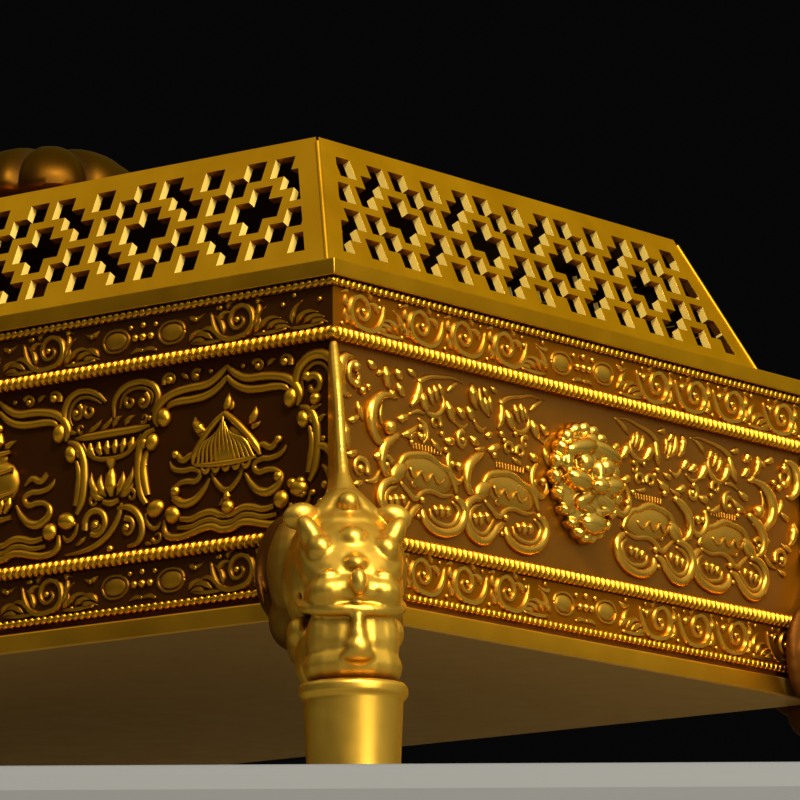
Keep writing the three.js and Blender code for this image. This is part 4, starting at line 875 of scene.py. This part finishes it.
# Rim frame
# A flat gilt copper frame, soldered on top of the walls. It closes the thin rim rope in, and a sunk
# ledge round its inside carries the liner's flange.
edged("rim_frame", plate_gilt)

# Mask bosses
# A beast mask on each short wall, cast separately in copper, gilt and burnished. Its stud goes
# through the wall and is riveted over a plain copper washer inside.
MASK_HEIGHT = 57.4
mask_gilt = gilt("mask_gilt", (0.95, 0.58, 0.08), (0.10, 0.032, 0.004), reach=0.9, rough=0.24, grain=0.03,
                 dull=0.9)
bare_copper = gilt("bare_copper", (0.62, 0.25, 0.12), (0.10, 0.035, 0.015), reach=2.5, rough=0.38,
                   grain=0.25)


def lump(bm, centre, radii, turn=(0, 0, 0)):
    """An ellipsoid to be melted into a carved form."""
    spin = turned(turn[2]) @ turned(turn[1], "Y") @ turned(turn[0], "X")
    ball(bm, Matrix.Translation(centre) @ spin @ Matrix.Diagonal((*radii, 1)), 16, 10)


def melted(bm, grain, smooth):
    """One closed mesh from overlapping solids, remeshed at a grain in their own units."""
    obj = placed("melted", as_mesh(bm, "melted"))
    melt = obj.modifiers.new("melt", "REMESH")
    melt.mode = "VOXEL"
    melt.voxel_size = grain
    melt.use_smooth_shade = True
    ease = obj.modifiers.new("ease", "SMOOTH")
    ease.factor = 0.5
    ease.iterations = smooth
    result = bpy.data.meshes.new_from_object(obj.evaluated_get(bpy.context.evaluated_depsgraph_get()))
    bpy.data.objects.remove(obj)
    return result


def mask_form():
    """The mask seen from the front, x across, y up and z out, in mm from the wall."""
    bm = bmesh.new()
    skull, jaw = ((0, .8, 0), (5.9, 6.2, 2.6)), ((0, -2.6, 0), (3.7, 4.5, 2.4))
    nose, nostrils = ((0, 1.0, 2.7), (.9, 1.8, 1.0)), ((0, -.5, 3.1), (1.4, 1.0, 1.0))
    chin, crest = ((0, -4.9, 1.9), (2.4, 1.4, 1.2)), ((0, 5.3, 1.6), (1.3, .9, .9))
    for centre, radii in (skull, jaw, nose, nostrils, chin, crest):
        lump(bm, centre, radii)
    brow, eye = ((2.5, 4.0, 2.0), (3.1, 1.15, 1.2), -14), ((2.1, 2.1, 2.5), (1.3, 1.15, .95), 0)
    temple, cheek = ((4.6, 2.0, 1.5), (1.0, 1.5, .9), 0), ((3.1, -.1, 2.1), (2.5, 1.35, 1.5), 12)
    whisker, lip = ((2.1, -2.1, 2.3), (1.9, .75, .8), -24), ((1.7, -3.3, 2.1), (2.0, .5, .7), 8)
    for s in (1, -1):
        for (x, y, z), radii, turn in (brow, eye, temple, cheek, whisker, lip):
            lump(bm, (s * x, y, z), radii, (0, 0, s * turn))
    curls = 21
    for i in range(curls):
        angle = math.tau * (i + .5) / curls
        low = max(0, -math.sin(angle))
        x, y = (6.1 - 1.8 * low ** 2) * math.cos(angle), 6.7 * math.sin(angle) + .1
        size = .8 if math.sin(angle) < -.2 else 1.02
        lump(bm, (x, y, .55), (size * .85, size * 1.05, 1.15), (0, 0, math.degrees(angle) + 25))
    return melted(bm, 0.16, 4)


mask_shape = mask_form()
for side in ("right", "left"):
    bm = bmesh.new()
    at = side_plane(side, WALL_FACE) @ Matrix.Translation((0, MASK_HEIGHT, 0))
    lay(bm, mask_shape, at)
    rod(bm, at @ Matrix.Translation((0, 0, -1.6)), 1.4, 3.7, 16)
    finished(bm, f"mask_{side}_carved", mask_gilt, "box", (f"mask_{side}",), smooth=70)
    edged(f"mask_washer_{side}", bare_copper, edge=0.1)

# Liner pan and incense rack
# A folded copper pan lifts out by its flange, browned by heat, and holds a slotted brass rack on
# four feet that carries the incense over the ash.
rack_brass = gilt("rack_brass", (0.62, 0.42, 0.13), (0.16, 0.09, 0.03), reach=2.5, rough=0.4, grain=0.2)
edged("liner_pan", bare_copper, body="liner", edge=0.2)
edged("incense_rack", rack_brass, body="liner", edge=0.2)

# Lid
# A plain fascia frame with a locating lip, four pierced slopes sawn into a running pattern of
# stepped crosses, mitred along the hips, and a flat top plate. The faces that look inwards are near black,
# and in the sawn holes the upright faces are pale, partly as fresh-cut metal and partly as painted light,
# and the others brown as painted shade.
lid_gilt = gilt("lid_gilt", (0.80, 0.39, 0.012), BROWN, reach=1.0, rough=0.34)
# Painted light and shade: a pale lit copy for the upright faces of the sawn holes, partly the colour of
# fresh-cut metal, and a brown shaded copy for the rest.
sawn_pale_lit = gilt("sawn_pale_lit", (0.95, 0.68, 0.14), (0.95, 0.68, 0.14), reach=0.5, rough=0.45, metal=0.15)
sawn_shaded = gilt("sawn_shaded", (0.30, 0.13, 0.012), (0.16, 0.06, 0.006), reach=0.8, rough=0.45, dull=0.9)
inner_black = gilt("inner_black", (0.035, 0.02, 0.01), (0.012, 0.008, 0.005), rough=0.6, reach=4, dull=0.2)


def blacken_inside_shade_sawn(obj, inside, sawn=False):
    """Blackens the faces that look inwards. In the sawn holes, the upright faces are made pale, partly as
    fresh-cut metal and partly as painted light, and the others brown as painted shade.
    inside gives the inward direction at a face's middle."""
    for material in (inner_black, sawn_pale_lit, sawn_shaded):
        obj.data.materials.append(material)
    for face in obj.data.polygons:
        turn = face.normal.dot(inside(face.center))
        if turn > 0.5:
            face.material_index = 1
        elif sawn and abs(turn) < 0.3:
            face.material_index = 2 if abs(face.normal.z) < 0.2 else 3


def frame_inside(at):
    """The inward direction at a point of the lid's frame, whose opening is 20 mm less than the box."""
    if abs(at.x) - (LENGTH / 2 - 10) * MM > abs(at.y) - (WIDTH / 2 - 10) * MM:
        return Vector((-at.x, 0, 0)).normalized()
    return Vector((0, -at.y, 0)).normalized()


blacken_inside_shade_sawn(edged("lid_frame", lid_gilt, body="lid", edge=0.15), frame_inside)
FASCIA_TOP, LID_TOP = 76.9, 95.2
SLOPE_RUN = 8.1
SLANT = math.atan2(LID_TOP - FASCIA_TOP, SLOPE_RUN)
for side, turn in (("front", 0), ("back", 180), ("right", 90), ("left", 270)):
    inward = turned(turn) @ Vector((0, math.sin(SLANT), -math.cos(SLANT)))
    blacken_inside_shade_sawn(edged(f"lattice_{side}", lid_gilt, body="lid", edge=0.1),
           lambda at, inward=inward: inward, sawn=True)
blacken_inside_shade_sawn(edged("lid_top_plate", lid_gilt, body="lid", edge=0.2), lambda at: Vector((0, 0, -1)))

HIP_SETBACK = 4.42
HIP_RADIUS = 0.3 * MM
bm = bmesh.new()
for sx in (1, -1):
    for sy in (1, -1):
        foot = Vector((sx * (LENGTH / 2 - HIP_SETBACK), sy * (WIDTH / 2 - HIP_SETBACK), FASCIA_TOP)) * MM
        top = foot + Vector((-sx * SLOPE_RUN, -sy * SLOPE_RUN, LID_TOP - FASCIA_TOP)) * MM
        foot, top = foot.lerp(top, 0.04), top.lerp(foot, 0.04)
        turn = (top - foot).to_track_quat("Z", "Y").to_matrix().to_4x4()
        rod(bm, Matrix.Translation((foot + top) / 2) @ turn, HIP_RADIUS, (top - foot).length, 10)
finished(bm, "lid_hips", lid_gilt, "lid", smooth=60)

# Knob
# A cast lobed dome screwed on a turned stem, which a nut holds inside the lid. Its gilding is
# painted a very dark brown, which is painted shade.
# Painted shade: the knob's gilding is far darker than the rest.
knob_gilt = gilt("knob_gilt", (0.07, 0.028, 0.002), (0.03, 0.01, 0.001), reach=2.5, rough=0.42, grain=0.15)
KNOB_FOOT = 102.2
KNOB_RADIUS, KNOB_CROWN = 13.0, 7
bm = bmesh.new()
profile = [(1.8, 4.5), (1.8, 0), (7.4, 0), (8.0, 0.15), (11.5, 1.1), (12.6, 1.6)]
for i in range(13):
    angle = math.radians(88 * i / 12)
    profile.append((KNOB_RADIUS * math.cos(angle) ** 0.75, 2 + KNOB_CROWN * math.sin(angle)))
profile.append((0, 9.0))
points = [bm.verts.new((r, 0, z)) for r, z in profile]
points.append(bm.verts.new((0, 0, 4.5)))
edges = [bm.edges.new(pair) for pair in zip(points, points[1:-1])] + [bm.edges.new((points[-1], points[0]))]
bmesh.ops.spin(bm, geom=points + edges, axis=(0, 0, 1), cent=(0, 0, 0), angle=math.tau, steps=96,
               use_merge=True)
bmesh.ops.remove_doubles(bm, verts=bm.verts, dist=1e-4)
for vert in bm.verts:
    radius = math.hypot(vert.co.x, vert.co.y)
    if radius > 2:
        lobe = abs(math.cos(4 * math.atan2(vert.co.y, vert.co.x)))
        pinch = 1 - 0.1 * (1 - lobe) ** 2
        vert.co.x *= pinch
        vert.co.y *= pinch
        vert.co.z -= 0.9 * (1 - lobe) ** 2 * vert.co.z / 9 * min(1, radius / 6)
bmesh.ops.recalc_face_normals(bm, faces=bm.faces)
bmesh.ops.transform(bm, verts=bm.verts, matrix=Matrix.Scale(MM, 4) @ Matrix.Translation((0, 0, KNOB_FOOT)))
finished(bm, "knob_lobed", knob_gilt, "lid", ("knob",), smooth=50)
edged("knob_stem", knob_gilt, body="lid", edge=0.1, crease=50)
edged("knob_nut", bare_copper, body="lid", edge=0.15)

# Legs
# Each leg is a cast beast head that hugs the corner of the box, on a turned shaft tenoned up into
# its jaw. A screw from inside the corner post draws the head on.
leg_gilt = gilt("leg_gilt", (0.92, 0.54, 0.06), BROWN, reach=2.2, rough=0.36, grain=0.03, dull=0.9)
# Painted shade: the head turns brown towards the box, from 13 mm out to 6 mm, on the mane and wings beside
# the walls.
mane_shaded_gilt = gilt("mane_shaded_gilt", (0.92, 0.54, 0.06), BROWN, reach=2.2, rough=0.36, grain=0.03,
                 ground=("out", 6.0, 13.0), dull=0.9)
TURNS = {"front_right": -45, "back_right": 45, "back_left": 135, "front_left": -135}


def corner_place(corner):
    """Turns (out, across, up) in mm from a corner of the box into its place in metres."""
    angle = math.radians(TURNS[corner])
    x = math.copysign(LENGTH / 2, math.cos(angle)) * MM
    y = math.copysign(WIDTH / 2, math.sin(angle)) * MM
    return Matrix.Translation((x, y, 0)) @ turned(TURNS[corner]) @ Matrix.Scale(MM, 4)


def head_form():
    """The beast head in mm, x out along the diagonal from the corner of the box, z up. Its lumps are
    the mask of the face, its features and the tongue; the mane hugs both walls, and a keeled neck
    runs up the corner post."""
    bm = bmesh.new()
    middle = (
        ((10.0, 0, 41.0), (7.8, 6.2, 5.6), 0), ((15.2, 0, 39.6), (8.5, 6.0, 4.2), 38),
        ((17.8, 0, 35.3), (5.8, 5.4, 2.7), 0), ((4, 0, 40.5), (4.2, 5.5, 7), 0),
        ((9, 0, 46.3), (4.5, 2.0, 1.5), 0), ((14.2, 0, 46.2), (1.5, 1.3, 1.3), 0),
        ((18.4, 0, 41.5), (1.9, 1.6, 1.5), 20),
        ((21.4, 0, 38.5), (1.5, 1.2, .9), 20), ((23.9, 0, 36.0), (1.3, .95, 1.5), 0),
        ((17.6, 0, 30.0), (5.1, 5.2, 6.0), 0), ((17.9, 0, 27.4), (5.2, 5.5, 3.2), 0),
        ((22.7, 0, 31.7), (1.0, .7, 1.7), 0), ((23.1, 0, 30.1), (1.1, .95, 1.5), 0),
        ((23.2, 0, 28.9), (1.3, 1.45, 1.3), 0), ((22.9, 0, 28.2), (1.2, 1.85, .9), 0))
    for centre, radii, turn in middle:
        lump(bm, centre, radii, (0, turn, 0))
    lip = [[(13.4, 36.2, .3, -5.3), (16.6, 34.4, .55, -5.6), (20.6, 33.4, .65, -4.2), (22.9, 33.1, .7, 0),
            (20.6, 33.4, .65, 4.2), (16.6, 34.4, .55, 5.6), (13.4, 36.2, .3, 5.3)]]
    mane = []
    for s in (1, -1):
        for (x, y, z), radii, roll, turn in (
                ((-2.2, 5.15, 41.3), (1.6, 4.6, 6.4), 0, 45), ((2.5, 5.0, 40.5), (4.6, 2.8, 6.0), 0, 0),
                ((8.0, 4.2, 38.6), (5.0, 2.4, 5.5), 0, 0), ((1.2, 4.6, 35.2), (4.4, 3.0, 3.6), 0, 0),
                ((6.5, 3.3, 31.9), (5.0, 2.8, 3.3), 0, 0), ((11.5, 2.8, 29.2), (5.0, 2.9, 4.0), 0, 0),
                ((12.9, 5.2, 44.9), (1.7, 2.0, 1.5), -15, 0), ((18.5, 3.6, 40.3), (2.0, 1.5, 1.6), 0, 0),
                ((17.3, 4.3, 41.7), (2.0, 1.3, 2.8), -28, 0), ((21.3, 2.9, 37.0), (1.2, 1.3, .6), 0, 0),
                ((20.0, 2.7, 35.2), (3.4, 2.5, 2.0), 0, 0), ((18.0, 2.6, 30.4), (3.6, 2.6, 4.0), 0, 0),
                ((8.3, 5.9, 37.5), (1.6, .9, 2.1), 0, 0), ((10.8, 5.2, 32.2), (2.2, 1.3, 1.8), 0, 0)):
            lump(bm, (x, s * y, z), radii, (s * roll, 0, s * turn))
        mane += [[(-3.5, 46.3, .25, s * 6.2), (-3.3, 41.5, .4, s * 8.2), (-1.6, 37.0, .25, s * 7.7)],
                 [(1.5, 46.0, .25, s * 6.3), (2.5, 41, .4, s * 7.6), (4.2, 36.4, .25, s * 6.9)]]
    strands = chased(lip + mane)
    strands.transform(turned(90, "X") @ Matrix.Diagonal((1, 1, -1, 1)))
    bm.from_mesh(strands)
    neck = ((67.3, -1.7, .1, .45), (65, -1.7, 1.7, .6), (62, -1.7, 3.7, .68), (59, -1.7, 5.3, .72),
            (56, -1.7, 6.7, .76), (53, -1.7, 8.1, .8), (50.5, -1.4, 9.7, .9), (48.7, -.6, 11.5, 1.5),
            (47.2, .4, 13.2, 2.8), (45.6, 1.6, 14, 4.4), (43, 3, 14, 4.4))
    rings = []
    for z, back, front, half in neck:
        ring = []
        for i in range(16):
            c, s = math.cos(math.tau * i / 16), math.sin(math.tau * i / 16)
            x = (back + front) / 2 + (front - back) / 2 * math.copysign(abs(c) ** .6, c)
            ring.append(bm.verts.new((x, half * math.copysign(abs(s) ** .6, s), z)))
        rings.append(ring)
    bm.faces.new(rings[0])
    for last, ring in zip(rings, rings[1:]):
        for i in range(16):
            bm.faces.new((last[i - 1], last[i], ring[i], ring[i - 1]))
    bm.faces.new(reversed(rings[-1]))
    return melted(bm, 0.25, 4)


MANE_TOP = 48.3
head_shape = head_form()
for corner in TURNS:
    bm = bmesh.new()
    lay(bm, head_shape, corner_place(corner))
    head = finished(bm, f"leg_head_{corner}_carved", mane_shaded_gilt, "box", (f"leg_head_{corner}",),
                    smooth=80)
    head.data.materials.append(leg_gilt)
    # Below MANE_TOP the head takes the painted-shade gilding, and the neck above it takes the plain one.
    for face in head.data.polygons:
        face.material_index = int(face.center.z > MANE_TOP * MM)
    edged(f"leg_shaft_{corner}", leg_gilt, edge=0.2, crease=40)
    edged(f"leg_screw_{corner}", bare_copper, edge=0.12)
